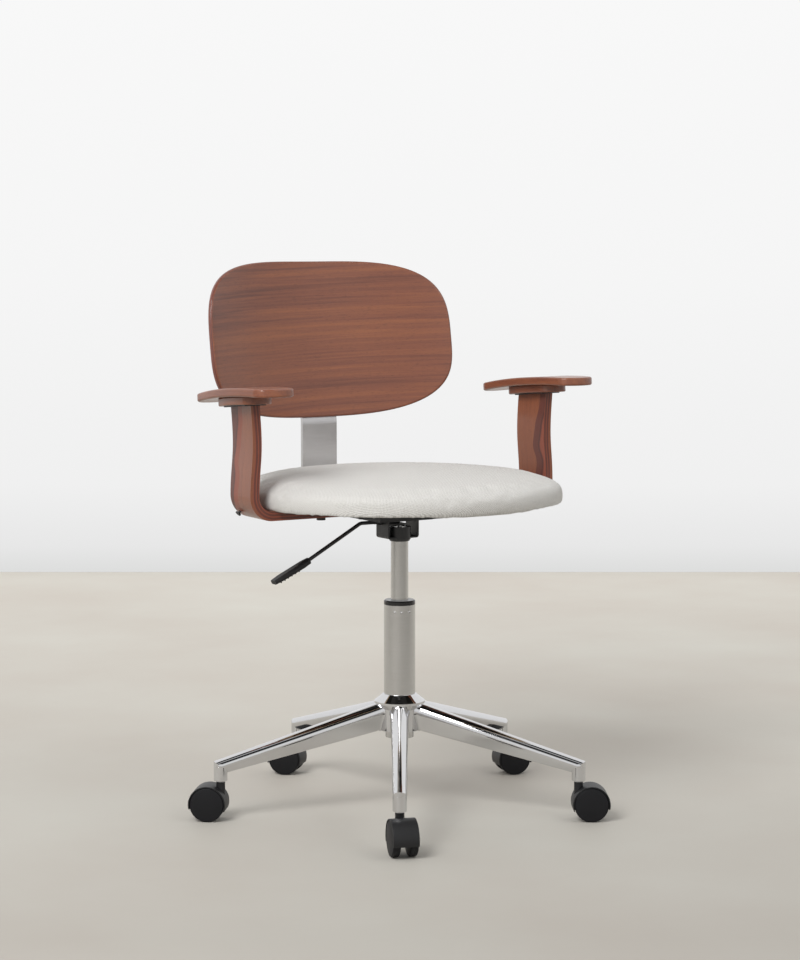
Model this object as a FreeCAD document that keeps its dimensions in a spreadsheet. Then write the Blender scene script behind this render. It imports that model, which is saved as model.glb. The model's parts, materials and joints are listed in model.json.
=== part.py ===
import FreeCAD, Part
import math
import os
import re

# Swivel chair on a five-star castor base.
# The origin is on the floor under the column, Z is up and the sitter faces -Y.
# Every driving dimension is a cell of the sheet below, in millimetres or degrees.

doc = FreeCAD.newDocument("swivel_chair")
sheet = doc.addObject("Spreadsheet::Sheet", "dims")

DRIVING = {
    # five-star base
    "leg_count": 5, "base_turn": 237.5, "spigot_reach": 294.7, "spigot_dia": 21.5,
    "spigot_bottom": 63.2, "spigot_wall": 2, "leg_wall": 1.5,
    "leg_top_at_hub": 172, "leg_top_at_tip": 97, "leg_height_at_hub": 46, "leg_height_at_tip": 24,
    "leg_width_at_hub": 30, "leg_keel_at_hub": 6, "leg_keel_at_tip": 7,
    "hub_dia": 67, "hub_bottom": 126.5, "hub_collar_dia": 81, "hub_collar_bottom": 162,
    "hub_collar_top": 185, "hub_neck_dia": 52, "hub_flare": 8, "hub_band": 3.5,
    # gas column
    "column_dia": 50, "column_wall": 2, "column_bottom": 114.5, "column_top": 328.5,
    "column_foot_dia": 45, "column_taper_top": 190, "column_foot_plate": 3,
    "ring_height": 7, "gas_dia": 28, "gas_wall": 2, "gas_bottom": 216, "gas_top": 452,
    "gas_end_block": 10, "valve_block": 24, "gas_taper_drop": 1.4,
    "dent_level": 319.7, "dent_reach": 27.3, "dent_round": 3.5, "bush_length": 84, "running_clearance": 0.05,
    "rod_dia": 10, "rod_top": 256, "piston_height": 12, "bearing_dia": 26, "bearing_height": 6,
    "bumper_dia": 20, "bumper_height": 4, "clip_dia": 18, "clip_thickness": 1.5,
    "valve_pin_dia": 7, "valve_pin_length": 17, "valve_pin_stand": 3,
    # mechanism under the seat
    "socket_dia": 36, "socket_mouth_dia": 31, "socket_bottom": 430, "socket_top": 453,
    "bracket_width": 58, "bracket_front": 11.7, "bracket_back": 23.3, "bracket_bottom": 434.5, "bracket_round": 4,
    "bracket_sheet": 2.5, "doubler_width": 84, "doubler_front": 32, "doubler_back": 45,
    "doubler_bottom": 464.5, "pan_width": 132, "pan_front": 47, "pan_back": 60,
    "plate_width": 190, "plate_front": 55, "plate_back": 80, "plate_sheet": 3,
    # height lever
    "lever_rod_dia": 6, "lever_shift": 12, "lever_drop_start": 65.6, "lever_rod_angle": 28.6,
    "lever_rod_reach": 122, "lever_bend": 12, "lever_tongue_width": 26, "lever_tongue_sheet": 3,
    "lever_tongue_overhang": 8, "lever_hole_play": 0.7, "pivot_reach": 33, "pivot_dia": 4.6,
    "pivot_lug": 2.5, "pivot_lug_gap": 4.5, "pivot_lug_width": 7.6, "pivot_lug_depth": 8, "lever_weld": 0.8, "pin_play": 0.3,
    "grip_length": 70, "grip_angle": 24.9, "grip_depth": 11, "grip_width": 18, "grip_overlap": 14,
    # seat
    "seat_width": 496, "seat_depth": 494, "seat_shift": -5.5, "seat_side_arc": 298,
    "seat_front_arc": 298, "seat_corner_arc": 170, "panel_inset": 14, "panel_thickness": 12,
    "panel_bottom": 495, "cover_sheet": 1, "cover_inset": 36, "seat_crown_top": 545,
    "seat_crown_arc": 1810, "seat_shoulder": 21, "seat_draw_in": 3.5, "seat_draw_height": 11.5,
    "foam_clearance": 0.3,
    # arms
    "arm_spacing": 532, "arm_middle": 11, "arm_toe": 2.8, "arm_width": 69.7, "arm_thickness": 15,
    "arm_bend": 29.5, "arm_sway": 4.4, "arm_sway_height": 585, "arm_flare": 1.2, "arm_inner_end": 44,
    "pad_length": 236, "pad_width": 75.5, "pad_thickness": 13, "pad_tilt": 5, "pad_arc": 1150,
    "pad_top": 681.3, "support_length": 113, "support_width": 54, "support_thickness": 12.5,
    "pad_side_arc": 1000, "pad_end_arc": 50, "pad_corner_arc": 22, "pad_edge_round": 3,
    "support_side_arc": 300, "support_end_arc": 60, "support_corner_arc": 18, "support_edge_round": 2,
    "arm_plate_length": 72, "arm_plate_width": 36, "arm_plate_sheet": 2,
    "button_along": 23.5, "button_head_dia": 9.2, "button_head": 2.2, "button_stand": 3.4,
    "button_stem_dia": 4, "button_root": 8,
    # back
    "back_width": 460, "back_rise": 142.5, "back_drop": 118, "back_middle": 729, "back_set": 257,
    "back_arc": 439, "back_thickness": 9, "back_lean": 8.5, "back_top_squareness": 3.35,
    "back_bottom_squareness": 3.25, "back_edge_round": 3,
    "bar_width": 66, "bar_thickness": 6, "bar_gap": 6, "bar_bend": 15, "bar_kink_bend": 60,
    "bar_front_end": 95, "bar_top": 752,
    # fasteners
    "bolt_dia": 8, "bolt_head_dia": 14, "bolt_head": 5, "bolt_clearance": 0.2,
    "nut_flange_dia": 21, "nut_flange": 1.5, "nut_barrel_dia": 11, "nut_length": 9,
    "arm_bolt_near": 78, "arm_bolt_far": 152, "arm_bolt_half_pitch": 19,
    "bar_bolt_first": 122, "bar_bolt_pitch": 42, "bar_bolt_half_pitch": 16,
    "back_bolt_first": 42, "back_bolt_pitch": 62, "back_bolt_half_pitch": 18, "back_bolt_dia": 6,
    "back_bolt_head": 4, "screw_dia": 5, "screw_head_dia": 9.5, "screw_head": 2.6,
    "pad_screw_length": 20, "pad_screw_across": 25.6, "pad_screw_along": 48,
    "post_screw_length": 34, "post_screw_along": 38,
    # castors
    "wheel_dia": 54, "wheel_width": 12, "wheel_gap": 15, "wheel_round": 1.5, "castor_trail": 19.4,
    "axle_dia": 7, "axle_depth": 9, "wheel_clearance": 0.8, "hood_dia": 59, "hood_width": 39.6,
    "hood_round": 1, "hood_web": 12.5, "hood_cut_angle": -3, "hood_cut_drop": 8.5,
    "heading_front": 12.4, "heading_right": 19.5, "heading_rear_right": -36.7,
    "heading_rear_left": 38.7, "heading_left": -24.2, "neck_dia": 14, "neck_top": 61.5,
    "stem_dia": 9, "stem_length": 34, "sleeve_dia": 17.5, "sleeve_flange": 1.5, "sleeve_length": 24,
    "sleeve_flange_dia": 15,
}

for row, (alias, value) in enumerate(DRIVING.items(), start=1):
    sheet.set("A%d" % row, alias)
    sheet.set("B%d" % row, str(value))
    sheet.setAlias("B%d" % row, alias)
doc.recompute()


def size(alias):
    """Value of a cell, for the shapes that Part's own functions compute."""
    return float(sheet.get(alias))


def bound(text):
    """Expression text with every alias pointed at the sheet."""
    return re.sub(r"[a-z][a-z_]*", lambda m: "dims." + m.group() if m.group() in DRIVING else m.group(), text)


def bind(item, **rules):
    for prop, text in rules.items():
        item.setExpression(prop.replace("__", "."), bound(text))
    return item


def moved(item, x="0", y="0", z="0"):
    bind(item, Placement__Base__x=x, Placement__Base__y=y, Placement__Base__z=z)
    return item


def turned(item, axis, angle):
    base = item.Placement.Base
    item.Placement = FreeCAD.Placement(base, FreeCAD.Rotation(FreeCAD.Vector(*axis), angle))
    return item


def cylinder(radius, height, z="0", x="0", y="0", along=None):
    item = doc.addObject("Part::Cylinder", "cylinder")
    bind(item, Radius=radius, Height=height)
    if along == "x":
        turned(item, (0, 1, 0), 90)
    if along == "y":
        turned(item, (1, 0, 0), -90)
    return moved(item, x, y, z)


def cone(low, high, height, z="0", x="0", y="0"):
    item = doc.addObject("Part::Cone", "cone")
    bind(item, Radius1=low, Radius2=high, Height=height)
    return moved(item, x, y, z)


def box(length, width, height, x="0", y="0", z="0"):
    item = doc.addObject("Part::Box", "block")
    bind(item, Length=length, Width=width, Height=height)
    return moved(item, x, y, z)


def fuse(*items):
    item = doc.addObject("Part::MultiFuse", "union")
    item.Shapes = list(items)
    item.Refine = True
    return item


def cut(base, *tools):
    tool = tools[0] if len(tools) == 1 else fuse(*tools)
    item = doc.addObject("Part::Cut", "cut")
    item.Base = base
    item.Tool = tool
    return item


def common(first, second):
    item = doc.addObject("Part::MultiCommon", "overlap")
    item.Shapes = [first, second]
    return item


def group(*items):
    item = doc.addObject("Part::Compound", "group")
    item.Links = list(items)
    return item


def computed(shape):
    item = doc.addObject("Part::Feature", "form")
    item.Shape = shape
    return item


nodes = []


def node(label, item):
    item.Label = label
    nodes.append(item)
    return item


def vec(x, y, z):
    return FreeCAD.Vector(x, y, z)


# Outlines and paths shared by several pieces


def arc_oval(half_x, half_y, arc_x, arc_y, corner, inset, z, shift):
    """Rounded square of eight tangent arcs, offset inwards by inset."""
    side = (half_x - arc_x, 0.0)
    front = (0.0, half_y - arc_y)
    reach_side = arc_x - corner
    reach_front = arc_y - corner
    gap = math.hypot(side[0] - front[0], side[1] - front[1])
    along = (reach_side ** 2 - reach_front ** 2 + gap ** 2) / (2 * gap)
    across = math.sqrt(reach_side ** 2 - along ** 2)
    ux, uy = (front[0] - side[0]) / gap, (front[1] - side[1]) / gap
    choices = [(side[0] + along * ux - s * across * uy, side[1] + along * uy + s * across * ux)
               for s in (1, -1)]
    corner_x, corner_y = max(choices, key=lambda c: c[0] + c[1])
    low = math.atan2(corner_y - side[1], corner_x - side[0])
    high = math.atan2(corner_y - front[1], corner_x - front[0])

    def arc(cx, cy, radius, start, end):
        points = []
        for angle in (start, (start + end) / 2, end):
            points.append(vec(cx + radius * math.cos(angle), cy + radius * math.sin(angle) + shift, z))
        return Part.Arc(*points).toShape()

    edges = []
    for mx, my, turn in ((1, 1, 0), (-1, 1, 1), (-1, -1, 0), (1, -1, 1)):
        a0 = math.atan2(my * math.sin(low), mx * math.cos(low))
        a1 = math.atan2(my * math.sin(high), mx * math.cos(high))
        if a1 - a0 > math.pi:
            a1 -= 2 * math.pi
        if a0 - a1 > math.pi:
            a0 -= 2 * math.pi
        edges.append(arc(mx * corner_x, my * corner_y, corner - inset, a0, a1))
    edges.append(arc(side[0], 0, arc_x - inset, -low, low))
    edges.append(arc(-side[0], 0, arc_x - inset, math.pi - low, math.pi + low))
    edges.append(arc(0, front[1], arc_y - inset, high, math.pi - high))
    edges.append(arc(0, -front[1], arc_y - inset, math.pi + high, 2 * math.pi - high))
    return Part.Wire(Part.__sortEdges__(edges))


def seat_outline(inset, z):
    return arc_oval(size("seat_width") / 2, size("seat_depth") / 2, size("seat_side_arc"),
                    size("seat_front_arc"), size("seat_corner_arc"), inset, z, size("seat_shift"))


def superellipse(half_x, rise, drop, top_power, bottom_power, count=64):
    """Closed smooth curve in XY from the superellipse formula, one power for each half."""
    points = []
    for step in range(count):
        angle = 2 * math.pi * step / count
        c, s = math.cos(angle), math.sin(angle)
        tall = rise if s >= 0 else drop
        power = top_power if s >= 0 else bottom_power
        radius = (abs(c / half_x) ** power + abs(s / tall) ** power) ** (-1 / power)
        points.append(vec(radius * c, radius * s, 0))
    curve = Part.BSplineCurve()
    curve.interpolate(Points=points, PeriodicFlag=True)
    return Part.Wire(curve.toShape())


def slab(wire, thickness):
    return Part.Face(wire).extrude(vec(0, 0, thickness))


# Five-star base


def leg_section(x, inset=0.0):
    """Egg-shaped tube section at reach x, round on top and narrow at the keel."""
    hub = size("hub_dia") / 2
    share = (x - hub) / (size("spigot_reach") - hub)

    def between(first, last):
        return first + (last - first) * share

    crown = between(size("leg_width_at_hub"), size("spigot_dia")) / 2
    keel = between(size("leg_keel_at_hub"), size("leg_keel_at_tip"))
    top = between(size("leg_top_at_hub"), size("leg_top_at_tip"))
    tall = between(size("leg_height_at_hub"), size("leg_height_at_tip"))
    high = top - crown
    low = top - tall + keel
    lean = math.asin((crown - keel) / (high - low))
    crown -= inset
    keel -= inset
    shoulder = [(side * crown * math.cos(lean), high - crown * math.sin(lean)) for side in (1, -1)]
    chine = [(side * keel * math.cos(lean), low - keel * math.sin(lean)) for side in (1, -1)]
    p = [vec(x, y, z) for y, z in (shoulder[0], chine[0], (0, low - keel), chine[1], shoulder[1],
                                   (-crown * math.sin(math.pi / 4), high + crown * math.cos(math.pi / 4)),
                                   (0, high + crown),
                                   (crown * math.sin(math.pi / 4), high + crown * math.cos(math.pi / 4)))]
    return Part.Wire([Part.makeLine(p[0], p[1]), Part.Arc(p[1], p[2], p[3]).toShape(),
                      Part.makeLine(p[3], p[4]), Part.Arc(p[4], p[5], p[6]).toShape(),
                      Part.Arc(p[6], p[7], p[0]).toShape()])


def leg_form():
    """One leg along +X with its upright spigot, hollow like the welded tube it is."""
    reach = size("spigot_reach")
    radius = size("spigot_dia") / 2
    wall = size("leg_wall")
    inside_hub = size("hub_dia") / 4
    crown_level = size("leg_top_at_tip") - radius
    spigot_low = size("spigot_bottom")
    bore_top = size("leg_top_at_tip") - radius

    def tube(inset, start, end, round_radius):
        body = Part.makeLoft([leg_section(start, inset), leg_section(end, inset)], True, True)
        post = Part.makeCylinder(round_radius, 400, vec(reach, 0, 0))
        keep = Part.makeBox(reach, 400, 400, vec(0, -200, 0)).fuse(post)
        return body.common(keep)

    outer = tube(0, inside_hub, reach + radius, radius)
    spigot = Part.makeCylinder(radius, crown_level - spigot_low, vec(reach, 0, spigot_low))
    inner = tube(wall, inside_hub - 1, reach + radius - wall, radius - wall)
    bore = Part.makeCylinder(radius - size("spigot_wall"), bore_top - spigot_low + 1,
                             vec(reach, 0, spigot_low - 1))
    hub = Part.makeCylinder(size("hub_dia") / 2, 400)
    return outer.fuse(spigot).cut(inner).cut(bore).cut(hub).removeSplitter()


hub_core = fuse(
    cylinder("hub_dia / 2", "hub_collar_bottom + hub_flare - hub_bottom", "hub_bottom"),
    cone("hub_dia / 2", "hub_collar_dia / 2", "hub_flare", "hub_collar_bottom"),
    cylinder("hub_collar_dia / 2", "hub_band", "hub_collar_bottom + hub_flare"),
    cone("hub_collar_dia / 2", "hub_neck_dia / 2",
         "hub_collar_top - hub_collar_bottom - hub_flare - hub_band",
         "hub_collar_bottom + hub_flare + hub_band"),
)
hub_bore = cone("column_foot_dia / 2", "column_dia / 2", "column_taper_top - column_bottom", "column_bottom")
node("base_hub", cut(hub_core, hub_bore))

leg = computed(leg_form())
for number in range(int(size("leg_count"))):
    turn = size("base_turn") + 360 * number / size("leg_count")
    blank = group(leg)
    turned(blank, (0, 0, 1), turn)
    node("base_leg_%d" % (number + 1), cut(blank, hub_core))

# Gas column

outside = fuse(
    cone("column_foot_dia / 2", "column_dia / 2", "column_taper_top - column_bottom", "column_bottom"),
    cylinder("column_dia / 2", "column_top - column_taper_top", "column_taper_top"),
)
inside = fuse(
    cone("column_foot_dia / 2 - column_wall", "column_dia / 2 - column_wall",
         "column_taper_top - column_bottom", "column_bottom"),
    cylinder("column_dia / 2 - column_wall", "column_top - column_taper_top", "column_taper_top"),
)
foot_keep = cut(inside, cylinder("column_dia", "column_foot_plate", "column_bottom"))
dents = []
for turn in (-18.4, 6.2, 38.6):
    angle = math.radians(size("base_turn") + turn)
    reach = size("dent_reach")
    dents.append(Part.makeSphere(size("dent_round"), vec(reach * math.cos(angle), reach * math.sin(angle),
                                                         size("dent_level"))))
node("column_tube", cut(outside, foot_keep, computed(Part.makeCompound(dents)),
                        cylinder("rod_dia / 2 + running_clearance", "column_foot_plate", "column_bottom")))
node("column_ring", cut(
    fuse(cylinder("column_dia / 2", "ring_height - 1.5", "column_top"),
         cone("column_dia / 2", "column_dia / 2 - 1.5", "1.5", "column_top + ring_height - 1.5")),
    cylinder("gas_dia / 2 + running_clearance", "ring_height", "column_top")))
node("guide_bush", cut(
    cylinder("column_dia / 2 - column_wall", "bush_length", "column_top - bush_length"),
    cylinder("gas_dia / 2 + running_clearance", "bush_length", "column_top - bush_length")))

bearing_low = "column_bottom + column_foot_plate"
races = []
for place, tall in (("0", "bearing_height / 3"), ("2 * bearing_height / 3", "bearing_height / 3")):
    races.append(cut(cylinder("bearing_dia / 2", tall, bearing_low + " + " + place),
                     cylinder("rod_dia / 2 + running_clearance", tall, bearing_low + " + " + place)))
cage = cut(cylinder("bearing_dia / 2 - 1.5", "bearing_height / 3", bearing_low + " + bearing_height / 3"),
           cylinder("rod_dia / 2 + 1", "bearing_height / 3", bearing_low + " + bearing_height / 3"))
node("thrust_bearing", group(races[0], cage, races[1]))

rod_low = "column_bottom - 4"
groove = cut(cylinder("rod_dia", "clip_thickness", "column_bottom - clip_thickness - 0.3"),
             cylinder("rod_dia / 2 - 1", "clip_thickness", "column_bottom - clip_thickness - 0.3"))
rod_body = fuse(
    cylinder("rod_dia / 2", "rod_top - column_bottom + 4", rod_low),
    cylinder("gas_dia / 2 - gas_wall - running_clearance", "piston_height", "rod_top - piston_height"),
)
node("piston_rod", cut(rod_body, groove))
node("retaining_clip", cut(
    cylinder("clip_dia / 2", "clip_thickness", "column_bottom - clip_thickness - 0.3"),
    cylinder("rod_dia / 2 - 1", "clip_thickness", "column_bottom - clip_thickness - 0.3"),
    box("clip_dia", "rod_dia - 3", "clip_thickness", "0", "-(rod_dia - 3) / 2",
        "column_bottom - clip_thickness - 0.3")))
bumper_low = bearing_low + " + bearing_height"
node("rubber_bumper", cut(cylinder("bumper_dia / 2", "bumper_height", bumper_low),
                          cylinder("rod_dia / 2", "bumper_height", bumper_low)))

taper = "gas_top - socket_bottom"
gas_body = fuse(
    cylinder("gas_dia / 2", "socket_bottom - gas_bottom", "gas_bottom"),
    cone("gas_dia / 2", "gas_dia / 2 - gas_taper_drop / 2", taper, "socket_bottom"),
)
node("gas_tube", cut(
    gas_body,
    cylinder("gas_dia / 2 - gas_wall", "gas_top - valve_block - gas_bottom - gas_end_block",
             "gas_bottom + gas_end_block"),
    cylinder("rod_dia / 2 + running_clearance", "gas_end_block + 1", "gas_bottom"),
    cylinder("valve_pin_dia / 2 + running_clearance", "valve_block", "gas_top - valve_block")))
node("valve_pin", cylinder("valve_pin_dia / 2", "valve_pin_length",
                           "gas_top + valve_pin_stand - valve_pin_length"))

# Mechanism under the seat

node("taper_socket", cut(
    fuse(cone("socket_mouth_dia / 2", "socket_dia / 2", "4", "socket_bottom"),
         cylinder("socket_dia / 2", "socket_top - socket_bottom - 4", "socket_bottom + 4")),
    cone("gas_dia / 2", "gas_dia / 2 - gas_taper_drop / 2", taper, "socket_bottom"),
    cylinder("gas_dia / 2 - gas_taper_drop / 2", "socket_top - gas_top", "gas_top")))



def rounded_channel(inset):
    """Block of the bracket with its two lower long edges rounded, set in by a sheet's thickness."""
    half = size("bracket_width") / 2 - inset
    low = size("bracket_bottom") + inset
    block = Part.makeBox(2 * half, size("bracket_front") + size("bracket_back"),
                         size("doubler_bottom") - low, vec(-half, -size("bracket_front"), low))
    edges = [e for e in block.Edges if e.BoundBox.ZMax < low + 0.1 and e.BoundBox.YLength > 1]
    return block.makeFillet(size("bracket_round") - inset + 0.5, edges)


lever_level = "(gas_top + valve_pin_stand + pin_play + lever_tongue_sheet + lever_rod_dia / 2 - lever_weld)"
bracket_deep = "bracket_front + bracket_back"
bracket_tall = "doubler_bottom - bracket_bottom"
bent = computed(rounded_channel(0))
bent_inside = computed(rounded_channel(size("bracket_sheet")))
node("mechanism_bracket", cut(
    bent, bent_inside,
    cylinder("socket_dia / 2", "bracket_sheet", "bracket_bottom"),
    cylinder("lever_rod_dia / 2 + lever_hole_play", "bracket_sheet", lever_level, "-bracket_width / 2",
             "lever_shift", along="x")))
lug_depth = "pivot_lug_depth + 0.5"
lugs = [box("pivot_lug_width", "pivot_lug", lug_depth, "-pivot_reach - pivot_lug_width / 2", across_rod,
            "doubler_bottom - pivot_lug_depth")
        for across_rod in ("lever_shift - pivot_lug_gap - pivot_lug", "lever_shift + pivot_lug_gap")]
node("mechanism_doubler", cut(
    fuse(box("doubler_width", "doubler_front + doubler_back", "bracket_sheet", "-doubler_width / 2",
             "-doubler_front", "doubler_bottom"), *lugs),
    cylinder("pivot_dia / 2 + running_clearance", "2 * pivot_lug_gap + 2 * pivot_lug + 2", lever_level,
             "-pivot_reach", "lever_shift - pivot_lug_gap - pivot_lug - 1", along="y")))

plate_top = "(panel_bottom - cover_sheet - arm_thickness)"
pan_low = "doubler_bottom + bracket_sheet"
plate_blank = fuse(
    box("plate_width", "plate_front + plate_back", "plate_sheet", "-plate_width / 2", "-plate_front",
        plate_top + " - plate_sheet"),
    box("pan_width", "pan_front + pan_back", plate_top + " - (" + pan_low + ")", "-pan_width / 2",
        "-pan_front", pan_low),
)
pan_hollow = box("pan_width - 2 * plate_sheet", "pan_front + pan_back - 2 * plate_sheet",
                 plate_top + " - (" + pan_low + ") - plate_sheet", "-pan_width / 2 + plate_sheet",
                 "-pan_front + plate_sheet", pan_low + " + plate_sheet")

# Fastener places, each a list of points on the face where the head or nut bears


def arm_frame_place(side):
    """Placement of an arm's own frame: its origin is under the post's middle, +X points outwards."""
    reach = (size("arm_spacing") + size("arm_thickness")) / 2
    return FreeCAD.Placement(vec(side * reach, size("arm_middle"), 0),
                             FreeCAD.Rotation(vec(0, 0, 1), side * size("arm_toe")))


def arm_points(side, along):
    reach = (size("arm_spacing") + size("arm_thickness")) / 2
    place = arm_frame_place(side)
    return [place.multVec(vec(side * (along - reach), lap, 0))
            for lap in (-size("arm_bolt_half_pitch"), size("arm_bolt_half_pitch"))]


near_points = [p for side in (-1, 1) for p in arm_points(side, size("arm_bolt_near"))]
far_points = [p for side in (-1, 1) for p in arm_points(side, size("arm_bolt_far"))]
bar_points = [vec(side * size("bar_bolt_half_pitch"), along, 0) for side in (-1, 1)
              for along in (size("bar_bolt_first"), size("bar_bolt_first") + size("bar_bolt_pitch"))]


def standing(p, radius, low, high):
    """Upright cylinder over a point, between two levels."""
    return Part.makeCylinder(radius, high - low, vec(p.x, p.y, low))


def upright(points, radius, low, high):
    return Part.makeCompound([standing(p, radius, low, high) for p in points])


bolt_hole = size("bolt_dia") / 2 + size("bolt_clearance")
arm_low = size("panel_bottom") - size("cover_sheet") - size("arm_thickness")
under_panel = size("panel_bottom") - size("cover_sheet")
panel_top = size("panel_bottom") + size("panel_thickness")
holes_near = computed(upright(near_points, bolt_hole, arm_low - 20, panel_top + 1))
holes_far = computed(upright(far_points, bolt_hole, arm_low - 20, panel_top + 1))
holes_bar = computed(upright(bar_points, bolt_hole, arm_low - 20, panel_top + 1))
all_points = near_points + far_points + bar_points

node("mechanism_plate", cut(plate_blank, pan_hollow, holes_near))

bolts = []
for points, bearing in ((near_points, arm_low - size("plate_sheet")), (far_points, arm_low),
                        (bar_points, under_panel - size("bar_thickness"))):
    for p in points:
        head_low = bearing - size("bolt_head")
        head = standing(p, size("bolt_head_dia") / 2, head_low, bearing)
        shank = standing(p, size("bolt_dia") / 2, bearing, panel_top - 1)
        socket = standing(p, size("bolt_dia") / 3, head_low, bearing - size("bolt_head") / 2)
        bolts.append(head.fuse(shank).cut(socket).removeSplitter())
node("seat_bolts", computed(Part.makeCompound(bolts)))

nut_low = panel_top - size("nut_length")
nuts = []
for p in all_points:
    flange = standing(p, size("nut_flange_dia") / 2, panel_top - size("nut_flange"), panel_top)
    barrel = standing(p, size("nut_barrel_dia") / 2, nut_low, panel_top)
    bore = standing(p, size("bolt_dia") / 2, nut_low, panel_top)
    nuts.append(flange.fuse(barrel).cut(bore).removeSplitter())
node("tee_nuts", computed(Part.makeCompound(nuts)))

# Height lever: a bent rod welded to a tongue over the valve pin, with a moulded grip


def lever_steel():
    tongue_low = size("gas_top") + size("valve_pin_stand") + size("pin_play")
    level = tongue_low + size("lever_tongue_sheet") + size("lever_rod_dia") / 2 - size("lever_weld")
    shift = size("lever_shift")
    overhang = size("lever_tongue_overhang")
    start = vec(overhang - 2, shift, level)
    corner = vec(-size("lever_drop_start"), shift, level)
    drop = math.radians(size("lever_rod_angle"))
    way = vec(-math.cos(drop), 0, -math.sin(drop))
    end = corner + way * size("lever_rod_reach")
    trim = size("lever_bend") * math.tan(drop / 2)
    first = corner + vec(trim, 0, 0)
    last = corner + way * trim
    middle_angle = drop / 2
    centre = vec(first.x, shift, level - size("lever_bend"))
    middle = centre + vec(-math.sin(middle_angle), 0, math.cos(middle_angle)) * size("lever_bend")
    path = Part.Wire([Part.makeLine(start, first), Part.Arc(first, middle, last).toShape(),
                      Part.makeLine(last, end)])
    ring = Part.Wire(Part.makeCircle(size("lever_rod_dia") / 2, start, vec(1, 0, 0)))
    rod = path.makePipeShell([ring], True, True)
    half = size("lever_tongue_width") / 2
    inner_wall = size("bracket_width") / 2 - size("bracket_sheet")
    tongue = Part.makeBox(inner_wall + overhang - 2, 2 * half, size("lever_tongue_sheet"),
                          vec(-inner_wall + 2, shift - half - 6, tongue_low))
    span = size("pivot_lug_gap") + size("pivot_lug") + 0.5
    pivot = Part.makeCylinder(size("pivot_dia") / 2, 2 * span, vec(-size("pivot_reach"), shift - span, level),
                              vec(0, 1, 0))
    return rod.fuse([tongue, pivot]).removeSplitter(), end, way


steel, grip_root, lever_way = lever_steel()
node("lever_rod", computed(steel))


def lever_grip():
    """Flat moulded paddle that follows the rod and droops a little less, with ribs on top."""
    drop = math.radians(size("grip_angle"))
    way = vec(-math.cos(drop), 0, -math.sin(drop))
    deep = size("grip_depth")
    wide = size("grip_width")
    long = size("grip_length")
    start = grip_root - way * size("grip_overlap")
    rotation = FreeCAD.Rotation(vec(1, 0, 0), vec(-math.cos(drop), 0, -math.sin(drop)))

    def section(along, width, depth):
        rim = min(width, depth) / 2 - 0.6
        half_w, half_d = width / 2, depth / 2
        pts = [vec(along, -half_w + rim, half_d), vec(along, half_w - rim, half_d),
               vec(along, half_w, half_d - rim), vec(along, half_w, -half_d + rim),
               vec(along, half_w - rim, -half_d), vec(along, -half_w + rim, -half_d),
               vec(along, -half_w, -half_d + rim), vec(along, -half_w, half_d - rim)]
        mid = rim * (1 - math.sqrt(0.5))
        corners = [vec(along, half_w - mid, half_d - mid), vec(along, half_w - mid, -half_d + mid),
                   vec(along, -half_w + mid, -half_d + mid), vec(along, -half_w + mid, half_d - mid)]
        edges = []
        for k in range(4):
            edges.append(Part.makeLine(pts[2 * k], pts[2 * k + 1]))
            edges.append(Part.Arc(pts[2 * k + 1], corners[k], pts[(2 * k + 2) % 8]).toShape())
        return Part.Wire(edges)

    stations = ((0, 0.62, 0.95), (0.18, 0.8, 1.05), (0.45, 1.0, 0.85), (0.8, 1.0, 0.8), (1.0, 0.82, 0.62))
    body = Part.makeLoft([section(long * s, wide * w, deep * d) for s, w, d in stations], True, True)
    ribs = []
    for k in range(6):
        along = long * (0.36 + 0.1 * k)
        ribs.append(Part.makeCylinder(1.0, wide * 0.7, vec(along, -wide * 0.35, deep * 0.41), vec(0, 1, 0)))
    for rib in ribs:
        body = body.fuse(rib)
    body.Placement = FreeCAD.Placement(start, rotation)
    return body.cut(steel).removeSplitter()


node("lever_grip", computed(lever_grip()))

# Seat: plywood panel, stuffed cushion wrapped over its edge, and the cloth cover underneath


def seat_panel():
    outline = seat_outline(size("panel_inset"), size("panel_bottom"))
    blank = slab(outline, size("panel_thickness"))
    barrels = upright(all_points, size("nut_barrel_dia") / 2, nut_low, panel_top)
    flanges = upright(all_points, size("nut_flange_dia") / 2, panel_top - size("nut_flange"), panel_top)
    shanks = upright(all_points, bolt_hole, size("panel_bottom") - 1, nut_low)
    return blank.cut(barrels).cut(flanges).cut(shanks)


def seat_cushion():
    low = size("panel_bottom")
    waist = low + size("seat_draw_height")
    crown = size("seat_crown_top")
    skirt = Part.makeLoft([seat_outline(size("seat_draw_in"), low), seat_outline(0, waist)], True, True)
    block = slab(seat_outline(0, waist), crown - waist + 5)
    ball = Part.makeSphere(size("seat_crown_arc"), vec(0, size("seat_shift"), crown - size("seat_crown_arc")))
    block = block.common(ball)
    rim = [edge for edge in block.Edges if edge.BoundBox.ZMin > waist + 3 and edge.BoundBox.ZLength < 8]
    block = block.makeFillet(size("seat_shoulder"), rim)
    cavity = slab(seat_outline(size("panel_inset") - size("foam_clearance"), low),
                  size("panel_thickness"))
    return skirt.fuse(block).cut(cavity).removeSplitter()


def cover():
    blank = slab(seat_outline(size("cover_inset"), under_panel), size("cover_sheet"))
    return blank.cut(upright(all_points, bolt_hole, under_panel - 1, size("panel_bottom") + 1))


node("seat_panel", computed(seat_panel()))
node("seat_cushion", computed(seat_cushion()))
node("seat_dust_cover", computed(cover()))

# Arms: bent laminated frames, steel plates, short supports and curved pads


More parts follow.
